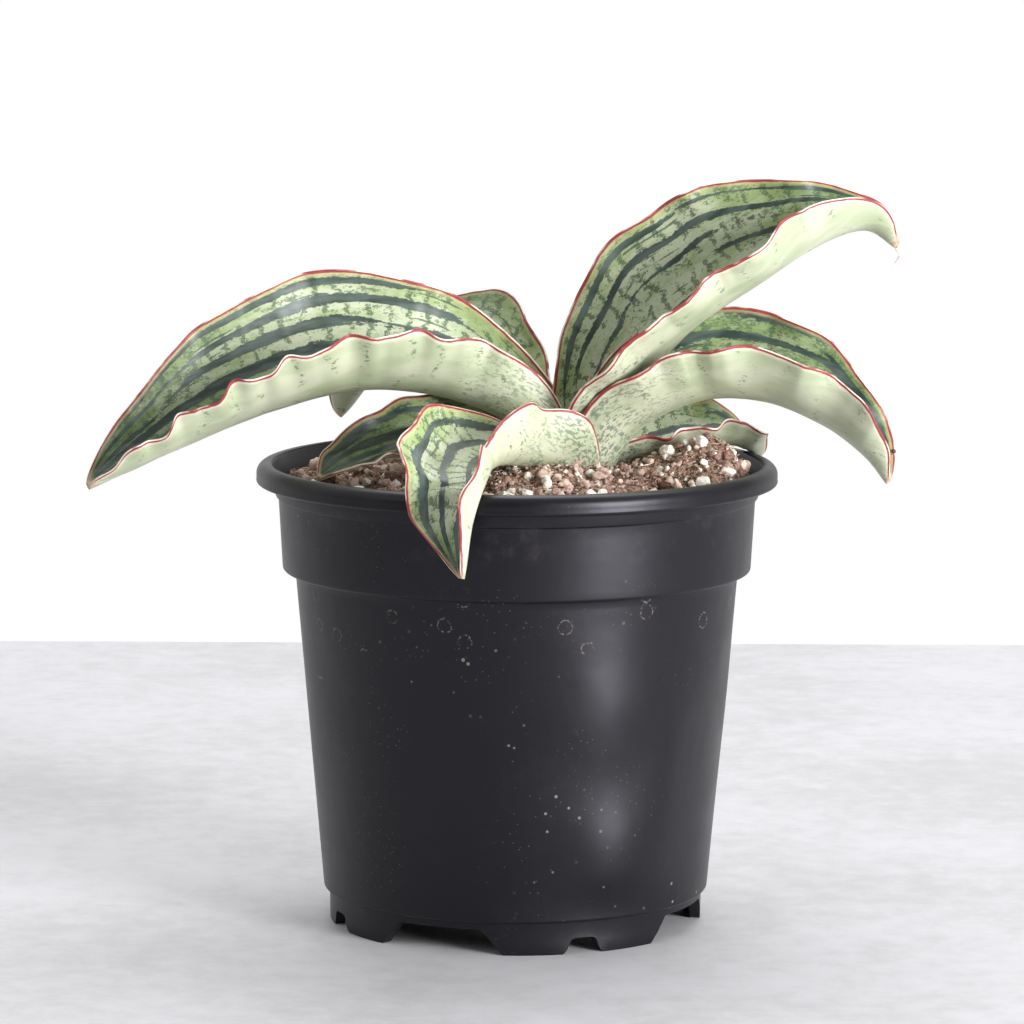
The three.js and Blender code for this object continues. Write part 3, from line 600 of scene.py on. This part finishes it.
def foot_cutter(name, centre, outline):
    """A cutter through the foot ring: half of a symmetric opening as (degrees from its middle, height)."""
    full = [(-angle, z) for angle, z in outline] + [(angle, z) for angle, z in reversed(outline)]
    points = []
    for radius in (RING_IN - 3, RING_OUT + 8):
        for angle, z in full:
            a = math.radians(centre + angle)
            points.append((radius * math.sin(a), -radius * math.cos(a), z))
    n = len(full)
    faces = [(k, (k + 1) % n, n + (k + 1) % n, n + k) for k in range(n)]
    cutter = new_mesh(name, points, faces + [tuple(range(n)), tuple(range(n, 2 * n))], smooth_shade=False)
    face_outwards(cutter.data)
    return cutter


# Soft bulges and dents in the thin wall: (degrees round from the front, height, degrees wide,
# height reach, millimetres outwards).
DENTS = ((25, 72, 14, 18, 1.7), (30, 30, 17, 18, 2.9), (44, 58, 9, 20, 1.1), (-30, 75, 16, 24, -0.25),
         (150, 60, 18, 26, 0.5), (215, 45, 14, 20, -0.4), (95, 70, 14, 22, 0.4), (3, 38, 10, 20, 0.18))


def dent(pot):
    """Pushes the body's wall in or out a little, on both faces alike."""
    mesh = pot.data
    flat = np.empty(len(mesh.vertices) * 3, np.float32)
    mesh.vertices.foreach_get("co", flat)
    p = (flat.reshape(-1, 3) - AXIS) / MM
    radius, round_it = np.hypot(p[:, 0], p[:, 1]), np.degrees(np.arctan2(p[:, 0], -p[:, 1]))
    push = np.zeros(len(p))
    for angle, height, wide, reach, depth in DENTS:
        off = (round_it - angle + 180) % 360 - 180
        push += depth * np.exp(-(off / wide) ** 2 - ((p[:, 2] - height) / reach) ** 2)
    push *= smooth(10.5, 24, p[:, 2]) * (1 - smooth(96, 108, p[:, 2])) * (radius > 50)
    p[:, :2] *= (1 + push / np.maximum(radius, 1))[:, None]
    mesh.vertices.foreach_set("co", (p * MM + AXIS).astype(np.float32).ravel())
    mesh.update()


def make_pot(segments=200):
    profile = np.array(pot_profile())
    rows = len(profile)
    points = [(0.0, 0.0, profile[0, 1])]
    angles = np.linspace(0, 2 * np.pi, segments, endpoint=False)
    for r, z in profile[1:-1]:
        points += [(r * math.cos(a), r * math.sin(a), z) for a in angles]
    points.append((0.0, 0.0, profile[-1, 1]))
    faces, inner = [], rows - 2
    for i in range(inner - 1):
        for k in range(segments):
            a, b = 1 + i * segments + k, 1 + i * segments + (k + 1) % segments
            faces.append((a, b, b + segments, a + segments))
    for k in range(segments):
        faces.append((0, 1 + (k + 1) % segments, 1 + k))
        base = 1 + (inner - 1) * segments
        faces.append((base + k, base + (k + 1) % segments, len(points) - 1))
    pot = new_mesh("nursery_pot", points, faces)
    cutters = []
    for i in range(4):
        at = ARCH_AT + 90 * i
        cutters.append(foot_cutter("arch", at, [
            (ARCH_HALF + 1.6, -1), (ARCH_HALF + 1.2, 0), (ARCH_HALF + 0.5, 0.5), (ARCH_HALF - 0.1, 1.2),
            (ARCH_HALF - 0.7, 2.4), (ARCH_HALF - 1.1, 3.6), (ARCH_HALF - 1.6, 4.4), (ARCH_HALF - 2.4, 4.85),
            (ARCH_HALF - 3.4, ARCH_TOP)]))
        cutters.append(foot_cutter("gap", at + 45, [
            (FOOT_GAP_LOW + 1.6, -1), (FOOT_GAP_LOW + 1.1, 0), (FOOT_GAP_LOW + 0.4,
                                                                0.4), (FOOT_GAP_LOW - 0.2, 1.1),
            (FOOT_GAP_HIGH + 0.5, 6.6), (FOOT_GAP_HIGH, 7.3), (FOOT_GAP_HIGH - 0.8, 7.65),
            (FOOT_GAP_HIGH - 2.0, FOOT_GAP_TOP)]))
    for i in range(DRAINS):
        a, ring = 2 * math.pi * i / DRAINS, []
        cx, cy = DRAIN_CIRCLE * math.cos(a), DRAIN_CIRCLE * math.sin(a)
        for z in (5.0, 14.0):
            ring += [(cx + DRAIN_RADIUS * math.cos(b), cy + DRAIN_RADIUS * math.sin(b), z)
                     for b in np.linspace(0, 2 * np.pi, 24, endpoint=False)]
        sides = [(k, (k + 1) % 24, 24 + (k + 1) % 24, 24 + k) for k in range(24)]
        cutters.append(new_mesh("drain", ring, sides + [tuple(range(23, -1, -1)), tuple(range(24, 48))]))
    for cutter in cutters:
        cut = pot.modifiers.new("cut", "BOOLEAN")
        cut.operation, cut.solver, cut.object = "DIFFERENCE", "EXACT", cutter
    depsgraph = bpy.context.evaluated_depsgraph_get()
    done = bpy.data.meshes.new_from_object(pot.evaluated_get(depsgraph))
    pot.modifiers.clear()
    pot.data = done
    for cutter in cutters:
        bpy.data.objects.remove(cutter, do_unlink=True)
    dent(pot)
    bpy.context.view_layer.objects.active = pot
    pot.select_set(True)
    bpy.ops.object.shade_smooth_by_angle(angle=math.radians(38))
    bpy.ops.object.select_all(action="DESELECT")
    return pot


def pot_material():
    m = Nodes("black_pot_plastic")
    at = m.place()
    height = m.split(at)[2]
    fine, cloud = m.noise(at, 1400, 3, 0.6), m.noise(at, 38, 4, 0.6)
    # Dust motes, dried water marks, pale chalky film and scuffs.
    crowd = m.step(m.noise(at, 22, 3), 0.54, 0.70)
    motes = m.minus(m.cells(at, 230), m.times(m.noise(at, 70, 2), 0.12))
    motes = m.times(m.step(motes, 0.075, 0.02), crowd)
    grit = m.times(m.step(m.cells(at, 620), 0.13, 0.08), m.step(m.noise(at, 40, 3), 0.52, 0.62))
    broken = m.step(m.noise(at, 1100, 3, 0.7), 0.46, 0.60)
    warped = m.plus(m.cells(at, 112), m.times(m.minus(m.noise(at, 260, 3), 0.5), 0.16))
    rings = m.times(m.step(warped, 0.22, 0.25), m.step(warped, 0.30, 0.26))
    under_band = m.times(m.step(height, 0.088, 0.097), m.step(height, 0.110, 0.107))
    under_rim = m.times(m.step(height, 0.118, 0.124), m.step(height, 0.135, 0.131))
    chance = m.minus(m.cells(at, 112, out="Color"), m.times(under_band, 0.30))
    rings = m.times(m.times(rings, broken), m.step(chance, 0.12, 0.08))
    stretched = m.vector(*[m.times(c, k) for c, k in zip(m.split(at), (26, 26, 900))])
    scuffs = m.times(m.step(m.noise(stretched, 1.0, 2), 0.735, 0.76), m.step(m.noise(at, 30, 2), 0.60, 0.66))
    film = m.times(m.step(m.noise(at, 55, 6, 0.75), 0.50, 0.80),
                  m.plus(m.times(under_rim, 0.06), 0.008))
    dirt = m.larger(m.times(motes, 0.42), m.times(rings, 0.28))
    dirt = m.larger(dirt, m.larger(m.times(grit, 0.22), m.times(scuffs, 0.35)))
    dirt = m.larger(dirt, film)
    dust = m.mix(m.step(m.noise(at, 90, 1), 0.5, 0.6), srgb(176, 172, 168), srgb(166, 148, 134))
    colour = m.mix(dirt, srgb(8, 8, 13), dust)
    rough = m.plus(m.step(cloud, 0.3, 0.7, 0.35, 0.41), m.times(dirt, 0.5))
    wall = m.bump(m.noise(at, 60, 2), 0.0006, 0.35)
    return m.finish(Base_Color=colour, Roughness=rough, Normal=m.bump(fine, 0.00005, 0.30, wall),
                    Specular_IOR_Level=0.36, Specular_Tint=(0.93, 0.91, 1.0))


# ------------------------------------------------------------------ potting mix
def hill(x, y, cx, cy, sx, sy, height):
    return height * np.exp(-0.5 * (((x - cx) / sx) ** 2 + ((y - cy) / sy) ** 2))


def soil_height(x, y):
    """The CAD surface of the mix: nearly level, a dome round the crown, a mound on the right."""
    x, y = np.asarray(x, float), np.asarray(y, float)
    r = np.hypot(x, y)
    rough = 0.5 * np.sin(0.31 * x + 0.8) * np.sin(0.27 * y + 2.1) + 0.35 * np.sin(0.53 * x - 0.41 * y)
    dome = hill(x, y, 8, -22, 20, 16, 8) + hill(x, y, 14, 8, 16, 12, 3) + rough
    return SOIL_LEVEL + (1 - smooth(58, 73, r)) * dome + (1 - smooth(66, 73.4, r)) * hill(x, y, 57, -4, 12,
                                                                                          13, 13.5)


def lumpy_height(x, y):
    flat = np.stack([x, y, np.zeros_like(x)], 1)
    lumps = 1.3 * layered(flat, 6.0, 5, 71, 0.66)
    pit = hill(x, y, 41, -56, 5.5, 6, 5) + hill(x, y, -54, -22, 9, 9, 2.5)
    edge = smooth(66, 72, np.hypot(x, y))
    return soil_height(x, y) + lumps * (1 - 0.6 * edge) - pit - 0.4


def make_soil():
    rings, around = 190, 420
    edge = MOUTH - 2.3
    r = edge * (np.arange(1, rings + 1) / rings)
    a = np.linspace(0, 2 * np.pi, around, endpoint=False)
    rr, aa = np.meshgrid(r, a, indexing="ij")
    x, y = (rr * np.cos(aa)).ravel(), (rr * np.sin(aa)).ravel()
    z = lumpy_height(x, y)
    points = np.vstack([[0, 0, float(lumpy_height(np.zeros(1), np.zeros(1))[0])], np.stack([x, y, z], 1)])
    faces = [(0, 1 + k, 1 + (k + 1) % around) for k in range(around)]
    faces += [tuple(1 + i for i in reversed(f)) for f in grid_faces(rings, around, closed=True)]
    # Sides and underside follow the inside of the pot.
    skirt, levels = [], [(71.2, 131), (70.2, 110.9), (66.0, 108.2), (57.2, 12.4), (55.6, 10.8)]
    for radius, level in levels:
        skirt += [(radius * math.cos(b), radius * math.sin(b), level) for b in a]
    first = len(points) - around
    points = np.vstack([points, skirt, [[0, 0, 10.8]]])
    for i in range(len(levels)):
        top, low = first + i * around, first + (i + 1) * around
        faces += [(top + k, low + k, low + (k + 1) % around, top + (k + 1) % around) for k in range(around)]
    last = len(points) - 1
    base = first + len(levels) * around
    faces += [(base + k, last, base + (k + 1) % around) for k in range(around)]
    return new_mesh("potting_mix_bed", points, faces)


def soil_material():
    m = Nodes("peat_and_bark")
    at = m.place()
    clump, fibre = m.noise(at, 420, 5, 0.7), m.noise(at, 1700, 3, 0.7)
    dark = m.mix(m.step(clump, 0.40, 0.62), srgb(50, 33, 26), srgb(168, 132, 114))
    colour = m.mix(m.step(fibre, 0.50, 0.66), dark, srgb(206, 176, 156))
    relief = m.plus(clump, m.times(fibre, 0.5))
    return m.finish(Base_Color=colour, Roughness=0.95, Normal=m.bump(relief, 0.0010, 0.9),
                    Specular_IOR_Level=0.2)


def crumb_material(name, dark, light, speck):
    """Crumbs and fibres: each one's own tone comes with its mesh."""
    m = Nodes(name)
    at, tone = m.place(), m.attribute("tone")
    grain = m.noise(at, 1500, 4, 0.7)
    colour = m.mix(m.plus(tone, m.times(m.minus(grain, 0.5), 0.9), clamp=True),
                   dark, light)
    colour = m.mix(m.step(m.noise(at, 3200, 2), 0.62, 0.70), colour, speck)
    return m.finish(Base_Color=colour, Roughness=0.92, Normal=m.bump(grain, 0.0004, 0.8),
                    Specular_IOR_Level=0.25)


def icosphere(level):
    bm = bmesh.new()
    bmesh.ops.create_icosphere(bm, subdivisions=level, radius=1.0)
    points = np.array([v.co[:] for v in bm.verts])
    faces = [[v.index for v in f.verts] for f in bm.faces]
    bm.free()
    return points, np.array(faces)


def turned(points, rng):
    """points under a random rotation."""
    axis = rng.normal(size=3)
    axis /= np.linalg.norm(axis)
    return points @ np.array(Matrix.Rotation(rng.uniform(0, 2 * np.pi), 3, Vector(axis))).T


def lump(size, rng, level, rough, flat=1.0):
    """One irregular grain, centred on nothing."""
    points, faces = icosphere(level)
    seed = int(rng.randint(1, 100000))
    bulge = 1 + rough * layered(points * 1.3 + 5, 1.0, 3, seed, 0.6)
    points = points * bulge[:, None] * (1 + 0.35 * rng.uniform(-1, 1, 3))
    points = turned(points, rng)
    points[:, 2] *= flat
    return points * size / 2, faces


def scatter(name, grains, material, tones=None, nodes=()):
    """Joins many small closed grains into one piece."""
    points, faces, tone, start = [], [], [], 0
    for i, (p, f) in enumerate(grains):
        points.append(p)
        faces.append([[int(i) + start for i in row] for row in f])
        tone.append(np.full(len(p), 0.5 if tones is None else tones[i]))
        start += len(p)
    flat = [tuple(row) for block in faces for row in block]
    obj = new_mesh(name, np.vstack(points), flat, {"tone": ("FLOAT", np.concatenate(tone))})
    return piece(obj, material, nodes)


def open_ground(rng, count, near_rim=71.0):
    """Random places on the mix."""
    radius = near_rim * np.sqrt(rng.uniform(0, 1, count))
    angle = rng.uniform(0, 2 * np.pi, count)
    return radius * np.cos(angle), radius * np.sin(angle)


def make_crumbs():
    """Small torn crumbs in two pieces, the dust of the mix and its lumps."""
    rng = np.random.RandomState(11)
    material = crumb_material("peat_crumb", srgb(134, 100, 86), srgb(240, 216, 200), srgb(246, 234, 226))
    for name, count, least, most, level in (("potting_mix_dust", 2300, 0.5, 1.5, 2),
                                            ("potting_mix_crumbs", 560, 1.4, 3.6, 3)):
        grains, tones = [], []
        x, y = open_ground(rng, count)
        z = lumpy_height(x, y)
        for i in range(count):
            size = least + (most - least) * rng.uniform() ** 2
            p, f = lump(size, rng, level, 0.55)
            grains.append((p + [x[i], y[i], z[i] + rng.uniform(0.1, 0.45) * size], f))
            tones.append(rng.uniform(0.0, 0.9))
        scatter(name, grains, material, tones)


def strand(rng, length, radius, steps=5, sides=4):
    """A bent fibre as a closed thin tube, lying roughly level."""
    heading = rng.uniform(0, 2 * np.pi)
    bend, rise = rng.normal(0, 0.6), rng.normal(0.05, 0.45)
    centre, here = [], np.zeros(3)
    for i in range(steps + 1):
        centre.append(here.copy())
        a = heading + bend * i / steps * 2
        lift = rise * (1 - 2 * i / steps)
        here = here + np.array([math.cos(a), math.sin(a), lift]) * length / steps
    centre = np.array(centre) - np.mean(centre, axis=0)
    points = []
    for i, c in enumerate(centre):
        a = heading + bend * i / steps * 2
        across = np.array([-math.sin(a), math.cos(a), 0])
        thin = radius * (1 - 0.6 * abs(2 * i / steps - 1))
        for k in range(sides):
            b = 2 * np.pi * k / sides
            points.append(c + across * math.cos(b) * thin + np.array([0, 0, 1]) * math.sin(b) * thin)
    faces = [tuple(reversed(f)) for f in grid_faces(steps + 1, sides, closed=True)]
    faces += [tuple(range(sides)), tuple(steps * sides + k for k in range(sides - 1, -1, -1))]
    return np.array(points), faces


def make_fibres():
    """Short peat threads lying every way over the surface, and a few long straws."""
    rng = np.random.RandomState(23)
    material = crumb_material("peat_fibre", srgb(112, 82, 66), srgb(236, 214, 194), srgb(246, 232, 218))
    for name, count, least, most, thin, thick in (("peat_threads", 3600, 0.8, 3.2, 0.07, 0.16),
                                                  ("peat_straws", 260, 3.0, 9.0, 0.08, 0.24)):
        grains, tones = [], []
        x, y = open_ground(rng, count)
        z = lumpy_height(x, y)
        for i in range(count):
            p, f = strand(rng, rng.uniform(least, most), rng.uniform(thin, thick), 5 if most > 4 else 3,
                          4 if most > 4 else 3)
            grains.append((p + [x[i], y[i], z[i] + rng.uniform(0.1, 1.5)], f))
            tones.append(rng.uniform(0.1, 1.0))
        scatter(name, grains, material, tones)


def perlite_material():
    m = Nodes("perlite")
    at = m.place()
    foam = m.cells(at, 1500)
    dust = m.step(m.noise(at, 700, 4, 0.7), 0.50, 0.72)
    colour = m.mix(m.step(m.noise(at, 300, 2), 0.4, 0.6), srgb(250, 248, 243), srgb(234, 228, 218))
    colour = m.mix(m.times(dust, 0.40), colour, srgb(176, 142, 118))
    return m.finish(Base_Color=colour, Roughness=0.85, Normal=m.bump(foam, 0.0003, 0.7),
                    Specular_IOR_Level=0.3)


PERLITE = perlite_material()


def chunk(points, rng, sides=11):
    """Distance from the centre to the skin of a stone broken off by a handful of flat faces."""
    reach = np.full(len(points), 1.16)
    for _ in range(sides):
        normal = rng.normal(size=3)
        facing = points @ (normal / np.linalg.norm(normal))
        reach = np.minimum(reach, rng.uniform(0.72, 1.0) / np.maximum(facing, 0.05))
    return reach


def carried_granules():
    """Each CAD granule is replaced by a finely pitted one in the same place."""
    rng = np.random.RandomState(31)
    for node in sorted(n for n in NODE_NAMES if n.startswith("perlite_grain")):
        low, high = (np.array(c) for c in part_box(node))
        centre, size = ((low + high) / 2 - AXIS) / MM, (high - low) / MM
        points, faces = icosphere(4)
        seed = int(rng.randint(1, 10000))
        shape = chunk(points, rng) + 0.07 * layered(points * 2.5 + 3, 1.0, 3, seed)
        points = points * shape[:, None] * size / 2 * 1.12 + centre
        piece(new_mesh(node + "_fine", points, faces), PERLITE, [node])


def make_perlite_fines():
    rng = np.random.RandomState(37)
    grains = []
    x, y = open_ground(rng, 420, 70)
    z = lumpy_height(x, y)
    for i in range(len(x)):
        size = 0.7 + 2.3 * rng.uniform() ** 2
        p, f = icosphere(3)
        p = turned(p * (chunk(p, rng) * size * 0.55)[:, None] * rng.uniform(0.75, 1.15, 3), rng)
        grains.append((p + [x[i], y[i], z[i] + 0.25 * size], f))
    return scatter("perlite_fines", grains, PERLITE)


def bark_material():
    m = Nodes("bark")
    at = m.place()
    layer = m.noise(m.vector(*[m.times(c, k) for c, k in zip(m.split(at), (300, 300, 1500))]), 1.0, 4, 0.7)
    colour = m.mix(m.step(layer, 0.35, 0.65), srgb(30, 20, 16), srgb(96, 66, 50))
    return m.finish(Base_Color=colour, Roughness=0.9, Normal=m.bump(layer, 0.0006, 0.8),
                    Specular_IOR_Level=0.25)


def carried_bark():
    material, rng = bark_material(), np.random.RandomState(41)
    for node in sorted(n for n in NODE_NAMES if n.startswith("bark_chip")):
        low, high = (np.array(c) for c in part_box(node))
        centre, size = ((low + high) / 2 - AXIS) / MM, (high - low) / MM
        points, faces = icosphere(4)
        seed = int(rng.randint(1, 10000))
        block = np.sign(points) * np.abs(points) ** 0.6
        block *= (1 + 0.16 * layered(points * 2 + 3, 1.0, 4, seed, 0.7))[:, None]
        points = block * size / 2 * 0.95 + centre
        piece(new_mesh(node + "_rough", points, faces), material, [node])


# ------------------------------------------------------------------ buried rhizome, dried strip
def rhizome_material():
    m = Nodes("rhizome_skin")
    at = m.place()
    rings = m.noise(m.vector(*[m.times(c, k) for c, k in zip(m.split(at), (500, 90, 90))]), 1.0, 3)
    colour = m.mix(m.step(rings, 0.35, 0.65), srgb(196, 150, 92), srgb(150, 92, 52))
    return m.finish(Base_Color=colour, Roughness=0.7, Normal=m.bump(rings, 0.0005, 0.6))


def dried_strip():
    rng = np.random.RandomState(47)
    line = spline([(17, 4, 150), (17.6, 3, 157), (19.5, 2, 163), (21.5, 1.6, 166), (22.4, 1.8, 168.4)],
                  np.linspace(0, 1, 40))
    points, faces = [], []
    for i, c in enumerate(line):
        s = i / 39
        half = 0.75 * (1 - 0.7 * s) + 0.1 * math.sin(9 * s)
        turn = 0.6 + 1.6 * s
        wide = np.array([math.cos(turn), math.sin(turn), 0.1]) * half
        thin = np.array([-math.sin(turn), math.cos(turn), 0]) * 0.22
        curl = 0.25 * math.sin(12 * s)
        points += [c - wide - thin, c - thin * (1 + curl), c + wide - thin, c + wide + thin,
                   c + thin * (1 - curl),
                   c - wide + thin]
    faces = [tuple(reversed(f)) for f in grid_faces(40, 6, closed=True)]
    faces += [tuple(range(6)), tuple(39 * 6 + k for k in (5, 4, 3, 2, 1, 0))]
    m = Nodes("dried_sheath")
    at = m.place()
    tone = m.noise(at, 900, 3)
    colour = m.mix(m.step(tone, 0.4, 0.6), srgb(190, 96, 66), srgb(222, 190, 150))
    material = m.finish(Base_Color=colour, Roughness=0.8, Normal=m.bump(tone, 0.0002, 0.5))
    return piece(new_mesh("dried_sheath", points, faces), material, ["dried_sheath_strip"])


def furthest_right(blade):
    """The outermost point of a blade, in millimetres from the pot's axis."""
    flat = np.empty(len(blade.data.vertices) * 3, np.float32)
    blade.data.vertices.foreach_get("co", flat)
    points = (flat.reshape(-1, 3) - AXIS) / MM
    return points[np.argmax(points[:, 0])]


def dry_tip_thread(blade):
    """A thread of dry skin that hangs in a curl from the tip of the upright leaf."""
    way = spline([(-1.2, 0, 0.6), (0.1, -0.3, -1.2), (-0.6, -0.6, -3.2), (0.5, -0.4, -4.8), (-0.4, 0, -6.6),
                  (-1.6, 0.2, -8.4)], np.linspace(0, 1, 36)) + furthest_right(blade)
    points, sides = [], 6
    for i, centre in enumerate(way):
        radius = 0.34 * (1 - 0.75 * i / 35)
        for k in range(sides):
            turn = -2 * np.pi * k / sides
            points.append(centre + np.array([math.cos(turn), math.sin(turn) * 0.6, 0]) * radius)
    faces = [tuple(reversed(f)) for f in grid_faces(36, sides, closed=True)]
    faces += [tuple(range(sides)), tuple(35 * sides + k for k in range(sides - 1, -1, -1))]
    thread = new_mesh("leaf_right_upright_dry_tip", points, faces)
    face_outwards(thread.data)
    m = Nodes("dry_leaf_skin")
    tone = m.noise(m.place(), 1300, 3)
    colour = m.mix(m.step(tone, 0.4, 0.6), srgb(196, 128, 112), srgb(236, 214, 196))
    return piece(thread, m.finish(Base_Color=colour, Roughness=0.8, Normal=m.bump(tone, 0.0002, 0.5)))


def stuck_crumbs(blade):
    """A few dark crumbs of the mix that cling to the tip of the right leaf."""
    rng = np.random.RandomState(47)
    grains = []
    for offset in ((-1.0, 0.2, -0.2), (-0.4, -0.4, 0.9), (-1.8, 0.0, -0.9), (-0.7, 0.5, 0.3)):
        p, f = lump(1.3, rng, 2, 0.35)
        grains.append((p + offset + furthest_right(blade), f))
    material = crumb_material("stuck_crumb", srgb(52, 38, 34), srgb(120, 92, 80), srgb(190, 160, 140))
    return scatter("leaf_right_arching_stuck_crumbs", grains, material)


# ------------------------------------------------------------------ build the object
piece(make_pot(), pot_material(), ["pot"])
piece(make_soil(), soil_material(), ["potting_mix"])
make_crumbs()
make_fibres()
make_perlite_fines()
carried_granules()
carried_bark()
dried_strip()
for order, (leaf_name, leaf_values) in enumerate(LEAVES.items()):
    blade = leaf_blade(leaf_name + "_blade", leaf_values, 100 + 10 * order)
    skin = leaf_material(leaf_name + "_skin", order + 1, STRIPE_SPACING.get(leaf_name, 4.5),
                         MOTTLE_AND_SHADE_FROM.get(leaf_name, 0.55))
    piece(blade, skin, [leaf_name])
    if leaf_name == "leaf_right_upright":
        dry_tip_thread(blade)
    if leaf_name == "leaf_right_arching":
        stuck_crumbs(blade)
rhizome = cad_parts["rhizome"]
rhizome.data.materials.clear()
rhizome.data.materials.append(rhizome_material())


# ------------------------------------------------------------------ studio
TABLE_BACK = 515.0                    # the table's far edge, millimetres behind the pot's axis
WORLD_FRONT, WORLD_BACK = 0.14, 0.80  # brightness of the surroundings


def studio():
    m = Nodes("pale_table")
    at = m.place()
    cloud, grain = m.noise(at, 7, 5, 0.6), m.noise(at, 90, 4, 0.7)
    tone = m.plus(m.times(cloud, 0.6), m.times(grain, 0.4))
    colour = m.mix(m.step(tone, 0.35, 0.62), srgb(188, 187, 190), srgb(206, 205, 209))
    table_material = m.finish(Base_Color=colour, Roughness=0.55, Specular_IOR_Level=0.35)
    # A wide table top that ends a little way behind the pot.
    back = TABLE_BACK * MM + AXIS[1]
    mesh = bpy.data.meshes.new("table")
    mesh.from_pydata([(-6, -6, 0), (6, -6, 0), (6, back, 0), (-6, back, 0)], [], [(0, 1, 2, 3)])
    mesh.materials.append(table_material)
    table = bpy.data.objects.new("table", mesh)
    bpy.context.scene.collection.objects.link(table)

    def area(name, place, target, width, height, watts):
        data = bpy.data.lights.new(name, "AREA")
        data.shape, data.size, data.size_y, data.energy = "RECTANGLE", width, height, watts
        lamp = bpy.data.objects.new(name, data)
        lamp.location = place
        lamp.rotation_euler = (Vector(target) - Vector(place)).to_track_quat("-Z", "Y").to_euler()
        bpy.context.scene.collection.objects.link(lamp)

    area("softbox_right", (1.25, -1.25, 0.40), (0, 0, 0.10), 0.6, 0.8, 50)
    area("overhead_back", (0.15, 0.75, 1.55), (0, 0, 0.1), 1.5, 1.0, 17)
    area("fill_left", (-1.4, -1.0, 1.1), (0, 0, 0.12), 0.9, 0.9, 2)
    # Bright surroundings behind and above, dim towards the front of the room.
    world = bpy.data.worlds.new("studio")
    world.use_nodes = True
    tree = world.node_tree
    background = tree.nodes["Background"]

    def link(kind, **inputs):
        node = tree.nodes.new(kind)
        for key, value in inputs.items():
            socket = node.inputs[int(key[1:])] if key[0] == "i" and key[1:].isdigit() else node.inputs[key]
            if isinstance(value, bpy.types.NodeSocket):
                tree.links.new(value, socket)
            else:
                socket.default_value = value
        return node

    direction = link("ShaderNodeSeparateXYZ", i0=tree.nodes.new("ShaderNodeTexCoord").outputs["Generated"])
    rise = link("ShaderNodeMath", i0=direction.outputs["Z"], i1=0.8)
    rise.operation = "MULTIPLY"
    lean = link("ShaderNodeMath", i0=direction.outputs["Y"], i1=rise.outputs[0])
    ramp = link("ShaderNodeMapRange", i0=lean.outputs[0], i1=-0.7, i2=0.5, i3=WORLD_FRONT, i4=WORLD_BACK)
    seen = tree.nodes.new("ShaderNodeLightPath").outputs["Is Camera Ray"]
    level = link("ShaderNodeMapRange", i0=seen, i1=0.0, i2=1.0, i3=ramp.outputs[0], i4=1.0)
    tree.links.new(level.outputs[0], background.inputs["Strength"])
    background.inputs["Color"].default_value = (1.0, 1.0, 1.0, 1.0)
    bpy.context.scene.world = world


studio()
bpy.context.scene.view_settings.view_transform = "Standard"

# ------------------------------------------------------------------ camera
LENS, SENSOR = 178.8, 36.0
CAMERA = (-1.5, -1549.0, 342.7)      # millimetres from the pot's axis
PITCH, ROLL = 7.95, 0.23
camera_data = bpy.data.cameras.new("camera")
camera_data.lens, camera_data.sensor_width = LENS, SENSOR
camera_data.clip_end = 50
camera = bpy.data.objects.new("camera", camera_data)
turn = Matrix.Rotation(math.radians(90 - PITCH), 4, "X") @ Matrix.Rotation(math.radians(ROLL), 4, "Z")
camera.matrix_world = Matrix.Translation(Vector(np.array(CAMERA) * MM + AXIS)) @ turn
bpy.context.scene.collection.objects.link(camera)
bpy.context.scene.camera = camera
